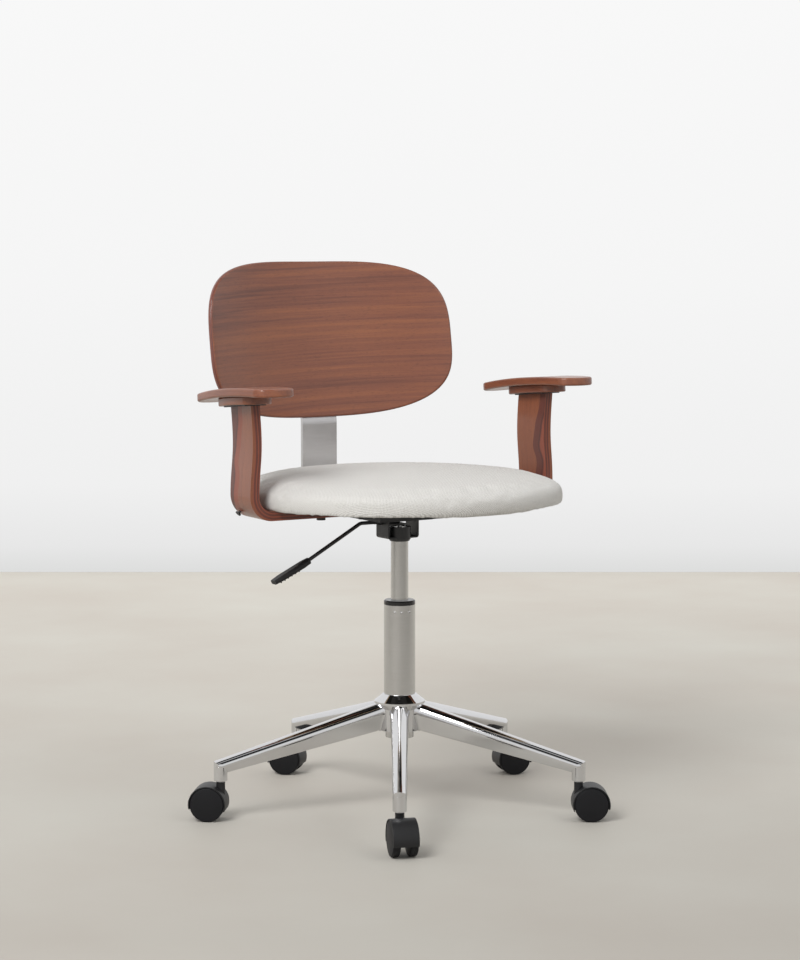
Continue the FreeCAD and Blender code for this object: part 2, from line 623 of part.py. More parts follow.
def arm_path():
    """Centre line in the arm's own XZ plane, from the inner end out, round the bend and up the post."""
    low = arm_low + size("arm_thickness") / 2
    reach = (size("arm_spacing") + size("arm_thickness")) / 2
    bend = size("arm_bend")
    top = arm_top(0) + 12
    start = vec(size("arm_inner_end") - reach, 0, low)
    turn_in = vec(-bend, 0, low)
    turn_mid = vec(-bend * (1 - math.sin(math.pi / 4)), 0, low + bend * (1 - math.cos(math.pi / 4)))
    turn_out = vec(0, 0, low + bend)
    sway = Part.BSplineCurve()
    sway.interpolate(Points=[turn_out, vec(-size("arm_sway"), 0, size("arm_sway_height")),
                             vec(size("arm_flare"), 0, top)],
                     InitialTangent=vec(0, 0, 1), FinalTangent=vec(0.05, 0, 1))
    return Part.Wire([Part.makeLine(start, turn_in), Part.Arc(turn_in, turn_mid, turn_out).toShape(),
                      sway.toShape()])


def arm_top(depth):
    """Level of the stack's face that lies this far under the pad's top, at the post's middle."""
    return size("pad_top") - depth


def in_stack(shape):
    """Lay a piece of the pad stack on the tilt that the pad has, about the post's middle."""
    tilted = FreeCAD.Placement(vec(0, 0, size("pad_top")),
                               FreeCAD.Rotation(vec(1, 0, 0), -size("pad_tilt")))
    shape.Placement = tilted.multiply(shape.Placement)
    return shape


def arched(plan, top, thickness):
    """Part of a plan outline between two arched faces, the upper one top below the pad's face."""
    prism = slab(plan, 120)
    prism.translate(vec(0, 0, -80))
    return prism.common(drum(top).cut(drum(top + thickness))).Solids[0]


def drum(depth):
    """Cylinder whose upper side is the arched face at this depth; its seam is turned away below."""
    arc = size("pad_arc")
    shape = Part.makeCylinder(arc - depth, 400, vec(-200, 0, -arc), vec(1, 0, 0))
    shape.rotate(vec(0, 0, -arc), vec(1, 0, 0), 180)
    return shape


def rounded(solid, radius):
    """Fillet every edge of an arched board but its upright ones."""
    edges = [e for e in solid.Edges if abs(e.tangentAt(e.FirstParameter).z) < 0.9]
    return solid.makeFillet(radius, edges)


def board(name, top):
    """Arched board of the pad stack with a rounded outline, from the sizes that carry its name."""
    plan = arc_oval(size(name + "_width") / 2, size(name + "_length") / 2, size(name + "_side_arc"),
                    size(name + "_end_arc"), size(name + "_corner_arc"), 0, 0, 0)
    return in_stack(rounded(arched(plan, top, size(name + "_thickness")), size(name + "_edge_round")))


def plate_form():
    depth = size("pad_thickness") + size("support_thickness")
    long, wide = size("arm_plate_length"), size("arm_plate_width")
    plan = Part.Wire(Part.makePolygon([vec(-wide / 2, -long / 2, 0), vec(wide / 2, -long / 2, 0),
                                       vec(wide / 2, long / 2, 0), vec(-wide / 2, long / 2, 0),
                                       vec(-wide / 2, -long / 2, 0)]))
    return in_stack(arched(plan, depth, size("arm_plate_sheet")))


def post_form():
    path = arm_path()
    wide, thick = size("arm_width"), size("arm_thickness")
    start = path.Vertexes[0].Point
    corners = [vec(start.x, y, start.z + z) for y, z in ((-wide / 2, -thick / 2), (wide / 2, -thick / 2),
                                                        (wide / 2, thick / 2), (-wide / 2, thick / 2))]
    profile = Part.Wire(Part.makePolygon(corners + [corners[0]]))
    body = path.makePipeShell([profile], True, False)
    above = size("pad_thickness") + size("support_thickness") + size("arm_plate_sheet")
    cap = in_stack(Part.makeBox(400, 400, 200, vec(-200, -200, -40)).cut(drum(above)))
    return body.cut(cap)


def screw_at(x, y, depth, length, up):
    """Countersunk wood screw whose head sinks into the arched face at this depth of the stack."""
    drop = size("pad_arc") - math.sqrt((size("pad_arc") - depth) ** 2 - y ** 2)
    head = Part.makeCone(size("screw_head_dia") / 2, size("screw_dia") / 2, size("screw_head"))
    screw = head.fuse(Part.makeCylinder(size("screw_dia") / 2, length)).removeSplitter()
    if not up:
        screw.rotate(vec(0, 0, 0), vec(1, 0, 0), 180)
    screw.translate(vec(x, y, -drop))
    return in_stack(screw)


def pad_screws():
    """Four screws up through the plate and the support into the pad."""
    depth = size("pad_thickness") + size("support_thickness") + size("arm_plate_sheet")
    across, along = size("pad_screw_across") / 2, size("pad_screw_along") / 2
    return [screw_at(x, y, depth, size("pad_screw_length"), True)
            for x in (-across, across) for y in (-along, along)]


def post_screws():
    """Two screws down through the plate into the post's end, under the support."""
    depth = size("pad_thickness") + size("support_thickness")
    along = size("post_screw_along") / 2
    return [screw_at(0, y, depth, size("post_screw_length"), False) for y in (-along, along)]


def button_form():
    """Small black button that stands off the outside of the bend, near the arm's rear edge."""
    bend = size("arm_bend")
    out = vec(math.sqrt(0.5), 0, -math.sqrt(0.5))
    centre = vec(-bend, size("button_along"), arm_low + size("arm_thickness") / 2 + bend)
    face = bend + size("arm_thickness") / 2
    stem = Part.makeCylinder(size("button_stem_dia") / 2, size("button_root") + size("button_stand"),
                             centre + out * (face - size("button_root")), out)
    head = Part.makeCylinder(size("button_head_dia") / 2, size("button_head"),
                             centre + out * (face + size("button_stand")), out)
    return stem.fuse(head).removeSplitter()


def placed(shape, side):
    """Turn a right-hand arm piece into the arm on the given side and set it in the chair."""
    if side < 0:
        shape = shape.mirror(vec(0, 0, 0), vec(1, 0, 0))
    moved_shape = shape.copy()
    moved_shape.Placement = arm_frame_place(side).multiply(moved_shape.Placement)
    return moved_shape


def drilled(shape, tools):
    for tool in tools:
        shape = shape.cut(tool)
    return shape


screw_parts = []
buttons = []
for side, hand in ((-1, "right"), (1, "left")):
    up_screws, down_screws = pad_screws(), post_screws()
    frame_at = placed(drilled(post_form(), down_screws + [button_form()]), side)
    frame_at = frame_at.cut(upright(near_points + far_points, bolt_hole, arm_low - 20, panel_top))
    node("arm_frame_" + hand, computed(frame_at))
    node("arm_plate_" + hand, computed(placed(drilled(plate_form(), up_screws + down_screws), side)))
    support = drilled(board("support", size("pad_thickness")), up_screws + down_screws)
    node("arm_support_" + hand, computed(placed(support, side)))
    node("arm_pad_" + hand, computed(placed(drilled(board("pad", 0), up_screws), side)))
    screw_parts += [placed(screw, side) for screw in up_screws + down_screws]
    buttons.append(placed(button_form(), side))
node("arm_screws", computed(Part.makeCompound(screw_parts)))
node("arm_buttons", computed(Part.makeCompound(buttons)))

# Back: curved plywood shell on a flat bent bar

lean = math.radians(size("back_lean"))
back_axis = FreeCAD.Placement(vec(0, size("back_set"), size("back_middle")),
                              FreeCAD.Rotation(vec(1, 0, 0), -size("back_lean")))


def back_shell():
    arc = size("back_arc")
    tall = size("back_rise") + size("back_drop") + 40
    outer = Part.makeCylinder(arc + size("back_thickness"), tall, vec(0, -arc, -tall / 2))
    inner = Part.makeCylinder(arc, tall, vec(0, -arc, -tall / 2))
    plan = superellipse(size("back_width") / 2, size("back_rise"), size("back_drop"),
                        size("back_top_squareness"), size("back_bottom_squareness"))
    prism = slab(plan, 260)
    prism.rotate(vec(0, 0, 0), vec(1, 0, 0), 90)
    prism.translate(vec(0, 40, 0))
    shell = prism.common(outer.cut(inner))
    rims = [e for e in shell.Edges if e.Length > 300]
    shell = shell.makeFillet(size("back_edge_round"), rims)
    shell.Placement = back_axis
    return shell


def bar_path():
    """Centre line of the bar: under the seat, up behind it, then along the leaning shell."""
    thick = size("bar_thickness")
    level = under_panel - thick / 2
    front_face = size("seat_shift") + size("seat_depth") / 2 + size("bar_gap")
    upright_y = front_face + thick / 2
    rear_face = size("back_set") + size("back_thickness") / math.cos(lean)
    kink = size("back_middle") + (front_face - rear_face) / math.tan(lean)
    kink -= thick / 2 * math.tan(lean / 2)
    bend, soft = size("bar_bend"), size("bar_kink_bend")
    trim = soft * math.tan(lean / 2)
    way = vec(0, math.sin(lean), math.cos(lean))
    corner = vec(0, upright_y, kink)
    top = corner + way * ((size("bar_top") - kink) / math.cos(lean))
    a = vec(0, size("bar_front_end"), level)
    b = vec(0, upright_y - bend, level)
    c = vec(0, upright_y - bend * (1 - math.sin(math.pi / 4)), level + bend * (1 - math.cos(math.pi / 4)))
    d = vec(0, upright_y, level + bend)
    e = corner - vec(0, 0, trim)
    centre = vec(0, upright_y + soft, e.z)
    f = centre + vec(0, -math.cos(lean / 2), math.sin(lean / 2)) * soft
    g = corner + way * trim
    path = Part.Wire([Part.makeLine(a, b), Part.Arc(b, c, d).toShape(), Part.makeLine(d, e),
                      Part.Arc(e, f, g).toShape(), Part.makeLine(g, top)])
    return path, corner, way


def back_bar():
    path, corner, way = bar_path()
    start = path.Vertexes[0].Point
    wide, thick = size("bar_width"), size("bar_thickness")
    corners = [vec(x, start.y, start.z + z) for x, z in ((-wide / 2, -thick / 2), (wide / 2, -thick / 2),
                                                        (wide / 2, thick / 2), (-wide / 2, thick / 2))]
    profile = Part.Wire(Part.makePolygon(corners + [corners[0]]))
    body = path.makePipeShell([profile], True, True)
    return body.cut(upright(bar_points, bolt_hole, arm_low - 20, panel_top))


def back_bolts():
    path, corner, way = bar_path()
    normal = vec(0, math.cos(lean), -math.sin(lean))
    out = []
    for side in (-1, 1):
        for row in (0, 1):
            along = size("back_bolt_first") + row * size("back_bolt_pitch")
            seat = corner + way * along + normal * (size("bar_thickness") / 2)
            seat += vec(side * size("back_bolt_half_pitch"), 0, 0)
            grip = size("bar_thickness") + size("back_thickness") - 2
            tall, radius = size("back_bolt_head"), size("back_bolt_dia") / 2
            head = Part.makeCylinder(size("bolt_head_dia") / 2, tall, seat, normal)
            shank = Part.makeCylinder(radius, grip, seat, normal * -1)
            socket = Part.makeCylinder(radius * 0.8, tall, seat + normal * (tall * 0.4), normal)
            out.append(head.fuse(shank).cut(socket).removeSplitter())
    return out


back_steel = back_bolts()
shell_shape = back_shell()
bar_shape = back_bar()
for bolt in back_steel:
    shell_shape = shell_shape.cut(bolt)
    bar_shape = bar_shape.cut(bolt)
node("back_bar", computed(bar_shape))
node("back_shell", computed(shell_shape))
node("back_bolts", computed(Part.makeCompound(back_steel)))

# Castors: built once around a leg along +X, then turned to each leg

wheel_level = size("wheel_dia") / 2
wheel_reach = size("spigot_reach") + size("castor_trail")


def wheel_form(side):
    """One wheel with a plain outer face, a blind bore and a shallow relief inside."""
    radius, wide = size("wheel_dia") / 2, size("wheel_width")
    near = size("wheel_gap") / 2
    blank = Part.makeCylinder(radius, wide, vec(0, 0, near))
    blank = blank.makeFillet(size("wheel_round"), [e for e in blank.Edges if e.Closed])
    bore = Part.makeCylinder(size("axle_dia") / 2 + size("running_clearance"), size("axle_depth") + 0.4,
                             vec(0, 0, near))
    relief = Part.makeCylinder(radius - 6, 2, vec(0, 0, near)).cut(Part.makeCylinder(8, 2, vec(0, 0, near)))
    wheel = blank.cut(bore).cut(relief)
    wheel.rotate(vec(0, 0, 0), vec(1, 0, 0), -90 if side > 0 else 90)
    wheel.translate(vec(wheel_reach, 0, wheel_level))
    return wheel


def across(radius, wide):
    return Part.makeCylinder(radius, wide, vec(wheel_reach, -wide / 2, wheel_level), vec(0, 1, 0))


def hood_form():
    """Moulded hood: an arched cover over both wheels, a web between them and a neck for the stem."""
    outer = size("hood_dia") / 2
    inner = size("wheel_dia") / 2 + size("wheel_clearance")
    arch = across(outer, size("hood_width"))
    arch = arch.makeFillet(size("hood_round"), [e for e in arch.Edges if e.Closed])
    room = across(inner, size("hood_width") + 2)
    web = across(inner, size("hood_web"))
    over = vec(size("spigot_reach"), 0, 0)
    neck = standing(over, size("neck_dia") / 2, wheel_level, size("neck_top"))
    body = arch.fuse(neck).cut(room).fuse(web)
    tilt = math.radians(size("hood_cut_angle"))
    reach = 60
    lower = Part.makeBox(2 * reach, 2 * reach, reach, vec(-reach, -reach, -reach))
    lower.rotate(vec(0, 0, 0), vec(0, 1, 0), math.degrees(tilt))
    lower.translate(vec(wheel_reach, 0, wheel_level - size("hood_cut_drop")))
    boss = across(size("axle_dia") / 2 + 4, size("hood_web"))
    body = body.cut(lower).fuse(boss)
    stem = standing(over, size("stem_dia") / 2, stem_low(), stem_low() + size("stem_length"))
    axle = across(size("axle_dia") / 2, size("hood_web") + 2)
    return body.cut(stem).cut(axle).removeSplitter()


def stem_low():
    return size("neck_top") + size("sleeve_length") - size("stem_length") - 2


def pin_forms():
    axle = across(size("axle_dia") / 2, size("wheel_gap") + 2 * size("axle_depth"))
    over = vec(size("spigot_reach"), 0, 0)
    stem = standing(over, size("stem_dia") / 2, stem_low(), stem_low() + size("stem_length"))
    stem = stem.makeChamfer(1, [e for e in stem.Edges if e.Closed and e.BoundBox.ZMin > stem_low() + 1])
    return Part.makeCompound([stem, axle])


def sleeve_form():
    low = size("spigot_bottom")
    high = low + size("sleeve_length")
    over = vec(size("spigot_reach"), 0, 0)
    body = standing(over, size("sleeve_dia") / 2, low, high)
    flange = standing(over, size("sleeve_flange_dia") / 2, low - size("sleeve_flange"), low)
    bore = standing(over, size("stem_dia") / 2 + size("running_clearance"), low - size("sleeve_flange"),
                    high)
    return body.fuse(flange).cut(bore).removeSplitter()


forms = {
    "castor_hood": computed(hood_form()),
    "castor_pins": computed(pin_forms()),
    "castor_wheel_a": computed(wheel_form(-1)),
    "castor_wheel_b": computed(wheel_form(1)),
}
sleeve = computed(sleeve_form())
sleeves = []
spigot = FreeCAD.Placement(vec(size("spigot_reach"), 0, 0), FreeCAD.Rotation())
for number, corner in enumerate(("front", "right", "rear_right", "rear_left", "left")):
    turn = size("base_turn") + 360 * number / size("leg_count")
    heading = size("heading_" + corner)
    leg_place = FreeCAD.Placement(vec(0, 0, 0), FreeCAD.Rotation(vec(0, 0, 1), turn))
    swing = FreeCAD.Placement(vec(0, 0, 0), FreeCAD.Rotation(vec(0, 0, 1), heading))
    for name, form in forms.items():
        castor = group(form)
        castor.Placement = leg_place * spigot * swing * spigot.inverse()
        node("%s_%d" % (name, number + 1), castor)
    sleeves.append(turned(group(sleeve), (0, 0, 1), turn))
node("castor_sleeves", group(*sleeves))

doc.recompute()
os.makedirs("parts", exist_ok=True)
for item in nodes:
    if "Invalid" in item.State or item.Shape.isNull() or not item.Shape.isValid():
        raise RuntimeError("bad shape: " + item.Label)
    if not item.Shape.Solids:
        raise RuntimeError("no solid: " + item.Label)
    item.Shape.exportStep("parts/%s.step" % item.Label)
print("nodes", len(nodes))
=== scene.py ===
"""Walnut and chrome swivel desk chair: materials, seat upholstery, studio and camera."""

import json
import math

import bpy
from mathutils import Matrix, Vector

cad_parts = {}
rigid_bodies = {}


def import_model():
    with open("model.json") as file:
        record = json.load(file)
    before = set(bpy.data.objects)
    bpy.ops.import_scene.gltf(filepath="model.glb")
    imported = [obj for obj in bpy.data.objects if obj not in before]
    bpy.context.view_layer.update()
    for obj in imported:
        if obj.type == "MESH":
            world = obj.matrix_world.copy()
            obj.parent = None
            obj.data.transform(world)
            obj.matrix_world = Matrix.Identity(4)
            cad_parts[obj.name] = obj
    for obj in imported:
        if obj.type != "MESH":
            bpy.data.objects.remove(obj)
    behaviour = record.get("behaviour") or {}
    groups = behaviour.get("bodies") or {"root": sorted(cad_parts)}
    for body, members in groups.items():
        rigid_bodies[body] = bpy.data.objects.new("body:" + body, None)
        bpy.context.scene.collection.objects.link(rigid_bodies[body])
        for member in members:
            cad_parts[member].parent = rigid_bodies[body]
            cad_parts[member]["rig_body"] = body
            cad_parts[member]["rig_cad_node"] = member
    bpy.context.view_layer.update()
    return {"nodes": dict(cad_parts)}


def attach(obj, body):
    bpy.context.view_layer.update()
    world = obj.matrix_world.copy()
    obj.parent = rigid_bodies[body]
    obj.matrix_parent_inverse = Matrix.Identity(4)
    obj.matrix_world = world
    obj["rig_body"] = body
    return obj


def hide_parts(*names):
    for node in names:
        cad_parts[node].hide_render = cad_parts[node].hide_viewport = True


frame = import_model()
cad = frame["nodes"]


# Camera at the photograph's viewpoint: eye height 0.906 m, 3.78 m from the column

bpy.ops.object.camera_add(location=(-2.0333, -3.1866, 0.9063),
                          rotation=(math.radians(84.265), 0, math.radians(-32.54)))
camera = bpy.context.object
camera.name = "camera"
camera.data.sensor_width = 36
camera.data.lens = 89.89
camera.data.shift_x = 0.0005
camera.data.clip_end = 60
bpy.context.scene.camera = camera


# Node helpers


def node(tree, kind, **values):
    """New shader node; each value sets a property of the node or the default of an input."""
    made = tree.nodes.new("ShaderNode" + kind)
    for key, value in values.items():
        if hasattr(made, key):
            setattr(made, key, value)
        else:
            by_number = key[0] == "i" and key[1:].isdigit()
            made.inputs[int(key[1:]) if by_number else key.replace("_", " ")].default_value = value
    return made


def join(tree, source, target):
    tree.links.new(source, target)


def maths(tree, operation, first, second=None, clamp=False):
    """Math node on sockets or plain numbers; returns its output."""
    made = node(tree, "Math", operation=operation, use_clamp=clamp)
    for place, value in enumerate((first, second)):
        if value is None:
            continue
        if isinstance(value, (int, float)):
            made.inputs[place].default_value = value
        else:
            join(tree, value, made.inputs[place])
    return made.outputs[0]


def ramp(tree, factor, stops, interpolation="LINEAR"):
    """Colour ramp with (place, colour) stops; a colour may be one number for grey."""
    made = node(tree, "ValToRGB")
    band = made.color_ramp
    band.interpolation = interpolation
    while len(band.elements) < len(stops):
        band.elements.new(0.5)
    for element, (place, colour) in zip(band.elements, stops):
        element.position = place
        element.color = (colour, colour, colour, 1) if isinstance(colour, (int, float)) else (*colour, 1)
    join(tree, factor, made.inputs["Fac"])
    return made.outputs["Color"]


def blend(tree, factor, first, second, kind="MIX"):
    """Colour mix; factor, first and second are sockets, numbers or colours."""
    made = node(tree, "Mix", data_type="RGBA", blend_type=kind)
    for place, value in ((0, factor), (6, first), (7, second)):
        if isinstance(value, bpy.types.NodeSocket):
            join(tree, value, made.inputs[place])
        elif isinstance(value, (int, float)):
            made.inputs[place].default_value = value if place == 0 else (value, value, value, 1)
        else:
            made.inputs[place].default_value = (*value, 1)
    return made.outputs[2]


def node_group(name, inputs, outputs):
    """Empty shader node group with named sockets, and its input and output nodes."""
    tree = bpy.data.node_groups.new(name, "ShaderNodeTree")
    for label, kind, default in inputs:
        socket = tree.interface.new_socket(label, in_out="INPUT", socket_type="NodeSocket" + kind)
        if default is not None:
            socket.default_value = default
    for label, kind in outputs:
        tree.interface.new_socket(label, in_out="OUTPUT", socket_type="NodeSocket" + kind)
    return tree, tree.nodes.new("NodeGroupInput").outputs, tree.nodes.new("NodeGroupOutput").inputs


def use_group(tree, group, **values):
    made = tree.nodes.new("ShaderNodeGroup")
    made.node_tree = group
    for key, value in values.items():
        socket = made.inputs[key.replace("_", " ")]
        if isinstance(value, bpy.types.NodeSocket):
            join(tree, value, socket)
        else:
            socket.default_value = value
    return made.outputs


def material(name, **sockets):
    """Principled material; returns it with its tree, its shader and the Object coordinates."""
    made = bpy.data.materials.new(name)
    made.use_nodes = True
    tree = made.node_tree
    shader = tree.nodes["Principled BSDF"]
    for key, value in sockets.items():
        shader.inputs[key.replace("_", " ")].default_value = value
    place = node(tree, "TexCoord").outputs["Object"]
    return made, tree, shader, place


def bump(tree, shader, height, strength, distance):
    made = node(tree, "Bump", Strength=strength, Distance=distance)
    join(tree, height, made.inputs["Height"])
    join(tree, made.outputs["Normal"], shader.inputs["Normal"])


def stretched(tree, vector, scale):
    made = node(tree, "VectorMath", operation="MULTIPLY")
    join(tree, vector, made.inputs[0])
    made.inputs[1].default_value = scale
    return made.outputs[0]


def noise(tree, vector, scale, detail=3.0, roughness=0.5, distortion=0.0):
    made = node(tree, "TexNoise", Scale=scale, Detail=detail, Roughness=roughness, Distortion=distortion)
    join(tree, vector, made.inputs["Vector"])
    return made.outputs["Fac"]


# Shared effects


def walnut_grain():
    """Straight walnut figure along the vector's X, with fine lines and short dark pores."""
    tree, given, out = node_group("walnut_grain", [("Grain Place", "Vector", None)],
                                  [("Figure", "Float"), ("Lines", "Float"), ("Pores", "Float")])
    place = given["Grain Place"]
    wander = node(tree, "TexNoise", Scale=3.2, Detail=2.0)
    join(tree, stretched(tree, place, (0.55, 1.0, 1.0)), wander.inputs["Vector"])
    swing = node(tree, "VectorMath", operation="MULTIPLY_ADD")
    join(tree, wander.outputs["Color"], swing.inputs[0])
    swing.inputs[1].default_value = (0.0, 0.016, 0.016)
    join(tree, place, swing.inputs[2])
    narrow = noise(tree, stretched(tree, swing.outputs[0], (0.35, 24.0, 24.0)), 6.0, 5.0, 0.68, 0.12)
    broad = noise(tree, stretched(tree, swing.outputs[0], (0.4, 5.0, 5.0)), 6.0, 2.0, 0.5)
    bands = maths(tree, "ADD", maths(tree, "MULTIPLY", narrow, 0.62), maths(tree, "MULTIPLY", broad, 0.38))
    fine = noise(tree, stretched(tree, swing.outputs[0], (1.6, 60.0, 60.0)), 8.0, 3.0, 0.6)
    dots = noise(tree, stretched(tree, swing.outputs[0], (14.0, 240.0, 240.0)), 8.0, 2.0, 0.5)
    join(tree, bands, out["Figure"])
    join(tree, fine, out["Lines"])
    join(tree, ramp(tree, dots, ((0.60, 0.0), (0.70, 1.0))), out["Pores"])
    return tree


def ply_layers():
    """Thin veneer layers against depth through a board: dark glue lines and the tone of each layer."""
    tree, given, out = node_group("ply_layers",
                                  [("Depth", "Float", 0.0), ("Layer", "Float", 0.0015), ("Board", "Float", 0.009)],
                                  [("Glue Line", "Float"), ("Tone", "Float"), ("Inside", "Float")])
    step = maths(tree, "DIVIDE", given["Depth"], given["Layer"])
    share = maths(tree, "FRACT", step)
    edge = maths(tree, "ABSOLUTE", maths(tree, "SUBTRACT", share, 0.5))
    join(tree, ramp(tree, edge, ((0.36, 0.0), (0.48, 1.0))), out["Glue Line"])
    odd = maths(tree, "FRACT", maths(tree, "MULTIPLY", maths(tree, "FLOOR", step), 0.5))
    join(tree, maths(tree, "MULTIPLY", odd, 2.0), out["Tone"])
    far = maths(tree, "SUBTRACT", given["Board"], given["Depth"])
    near = maths(tree, "MINIMUM", given["Depth"], far)
    join(tree, maths(tree, "GREATER_THAN", near, 0.0009), out["Inside"])
    return tree


def cloth_weave():
    """Basket of plump wool yarns on UV metres: colour value with painted shade in the gaps between yarns, height and
    stray fibre.
    """
    tree, given, out = node_group("cloth_weave", [("Cloth Place", "Vector", None), ("Yarn", "Float", 0.0022)],
                                  [("Value", "Float"), ("Height", "Float"), ("Fleck", "Float")])
    turned = node(tree, "VectorRotate", rotation_type="Z_AXIS", Angle=math.radians(38))
    join(tree, given["Cloth Place"], turned.inputs["Vector"])
    wobble = node(tree, "TexNoise", Scale=260.0, Detail=2.0)
    join(tree, turned.outputs[0], wobble.inputs["Vector"])
    loose = node(tree, "VectorMath", operation="MULTIPLY_ADD")
    join(tree, wobble.outputs["Color"], loose.inputs[0])
    loose.inputs[1].default_value = (0.0013, 0.0013, 0.0)
    join(tree, turned.outputs[0], loose.inputs[2])
    parts = node(tree, "SeparateXYZ")
    join(tree, loose.outputs[0], parts.inputs[0])
    warp = maths(tree, "DIVIDE", parts.outputs[0], given["Yarn"])
    weft = maths(tree, "DIVIDE", parts.outputs[1], given["Yarn"])
    humps = []
    for along in (warp, weft):
        wave = maths(tree, "SINE", maths(tree, "MULTIPLY", along, math.tau / 2))
        humps.append(maths(tree, "ABSOLUTE", wave))
    check = maths(tree, "ADD", maths(tree, "FLOOR", warp), maths(tree, "FLOOR", weft))
    over = maths(tree, "MULTIPLY", maths(tree, "FRACT", maths(tree, "MULTIPLY", check, 0.5)), 2.0)
    under = maths(tree, "SUBTRACT", 1.0, over)
    knit = maths(tree, "ADD", maths(tree, "MULTIPLY", over, humps[0]), maths(tree, "MULTIPLY", under, humps[1]))
    pit = maths(tree, "MULTIPLY", humps[0], humps[1])
    fuzz = noise(tree, loose.outputs[0], 900.0, 3.0, 0.7)
    tall = maths(tree, "ADD", maths(tree, "MULTIPLY", knit, 0.45), maths(tree, "MULTIPLY", pit, 0.55))
    tall = maths(tree, "ADD", tall, maths(tree, "MULTIPLY", fuzz, 0.5))
    join(tree, tall, out["Height"])
    # Colour value follows the yarn height: painted shade darkens the gaps between yarns, mixed with a random yarn tone
    join(tree, maths(tree, "ADD", maths(tree, "MULTIPLY", tall, 0.55),
                     maths(tree, "MULTIPLY", noise(tree, given["Cloth Place"], 420.0, 2.0), 0.35)), out["Value"])
    join(tree, ramp(tree, noise(tree, loose.outputs[0], 520.0, 1.0), ((0.62, 0.0), (0.7, 1.0))), out["Fleck"])
    return tree


def dust_film():
    """Slow blotches and fine specks that break up a plain finish."""
    tree, given, out = node_group("dust_film", [("Place", "Vector", None), ("Size", "Float", 1.0)],
                                  [("Blotch", "Float"), ("Speck", "Float")])
    scaled = node(tree, "VectorMath", operation="SCALE")
    join(tree, given["Place"], scaled.inputs[0])
    join(tree, given["Size"], scaled.inputs["Scale"])
    join(tree, noise(tree, scaled.outputs[0], 14.0, 4.0, 0.6), out["Blotch"])
    join(tree, noise(tree, scaled.outputs[0], 900.0, 2.0, 0.5), out["Speck"])
    return tree


GRAIN, PLY, WEAVE, DUST = walnut_grain(), ply_layers(), cloth_weave(), dust_film()


# Materials


WALNUT_DARK, WALNUT_MID, WALNUT_WARM = (0.105, 0.030, 0.016), (0.205, 0.062, 0.030), (0.290, 0.094, 0.036)
MEAN_FIGURE = 0.53


def lacquered_walnut(name, grain_place, depth=None, board=0.009, layer=0.0015, calm=1.0):
    """Stained walnut veneer under lacquer; grain_place(tree, place) gives the grain's own vector.

    calm below 1 evens the figure out; depth(tree, place) shows the glued layers on a board's edges.
    """
    made, tree, shader, place = material(name, Coat_Weight=0.45, Coat_Roughness=0.16, Specular_IOR_Level=0.5)
    vector = grain_place(tree, place)
    grain = use_group(tree, GRAIN, Grain_Place=vector)
    figure = maths(tree, "ADD", maths(tree, "MULTIPLY", grain["Figure"], calm), MEAN_FIGURE * (1 - calm))
    colour = ramp(tree, figure, ((0.36, WALNUT_DARK), (0.47, WALNUT_MID), (0.62, WALNUT_WARM)))
    colour = blend(tree, maths(tree, "MULTIPLY", grain["Lines"], 0.5), colour, (0.13, 0.036, 0.017))
    colour = blend(tree, maths(tree, "MULTIPLY", grain["Pores"], 0.55), colour, (0.05, 0.014, 0.008))
    rough = maths(tree, "ADD", 0.34, maths(tree, "MULTIPLY", grain["Lines"], 0.14))
    if depth is not None:
        ply = use_group(tree, PLY, Depth=depth(tree, place), Layer=layer, Board=board)
        side = blend(tree, ply["Tone"], (0.26, 0.060, 0.030), (0.115, 0.028, 0.018))
        side = blend(tree, maths(tree, "MULTIPLY", ply["Glue Line"], 0.75), side, (0.035, 0.009, 0.007))
        side = blend(tree, maths(tree, "MULTIPLY", grain["Lines"], 0.35), side, (0.07, 0.018, 0.01))
        colour = blend(tree, ply["Inside"], colour, side)
        rough = maths(tree, "ADD", rough, maths(tree, "MULTIPLY", ply["Inside"], 0.12))
    join(tree, colour, shader.inputs["Base Color"])
    join(tree, rough, shader.inputs["Roughness"])
    bump(tree, shader, maths(tree, "SUBTRACT", grain["Lines"], grain["Pores"]), 0.12, 0.0004)
    return made


def shell_place(tree, place):
    """Back shell: grain runs across, tilted with the lean, a little higher at the sitter's right."""
    tilt = node(tree, "Mapping", vector_type="POINT")
    tilt.inputs["Location"].default_value = (0.37, 0.02, -0.05)
    tilt.inputs["Rotation"].default_value = (0, math.radians(2.0), 0)
    join(tree, place, tilt.inputs["Vector"])
    return stretched(tree, tilt.outputs[0], (1.0, 0.04, 1.0))


def shell_depth(tree, place):
    """Distance through the shell, from its hollow front face, about the leaning cylinder's axis."""
    tilt = node(tree, "Mapping", vector_type="TEXTURE")
    tilt.inputs["Location"].default_value = (0, 0.257, 0.729)
    tilt.inputs["Rotation"].default_value = (math.radians(-8.5), 0, 0)
    join(tree, place, tilt.inputs["Vector"])
    flat = node(tree, "VectorMath", operation="MULTIPLY_ADD")
    join(tree, tilt.outputs[0], flat.inputs[0])
    flat.inputs[1].default_value = (1, 1, 0)
    flat.inputs[2].default_value = (0, 0.439, 0)
    far = node(tree, "VectorMath", operation="LENGTH")
    join(tree, flat.outputs[0], far.inputs[0])
    return maths(tree, "SUBTRACT", far.outputs["Value"], 0.439)


def arm_parts(tree, place):
    """Distance from the bend's centre across and up the arm, with the toe-in left out."""
    parts = node(tree, "SeparateXYZ")
    join(tree, place, parts.inputs[0])
    return maths(tree, "ABSOLUTE", parts.outputs[0]), parts.outputs[1], parts.outputs[2]


def arm_place(tree, place):
    """Arm frame: the grain runs along the foot, round the bend and up the post."""
    across, ahead, up = arm_parts(tree, place)
    along = maths(tree, "ADD", up, across)
    made = node(tree, "CombineXYZ")
    join(tree, along, made.inputs[0])
    join(tree, ahead, made.inputs[1])
    join(tree, maths(tree, "MULTIPLY", across, 0.3), made.inputs[2])
    return made.outputs[0]


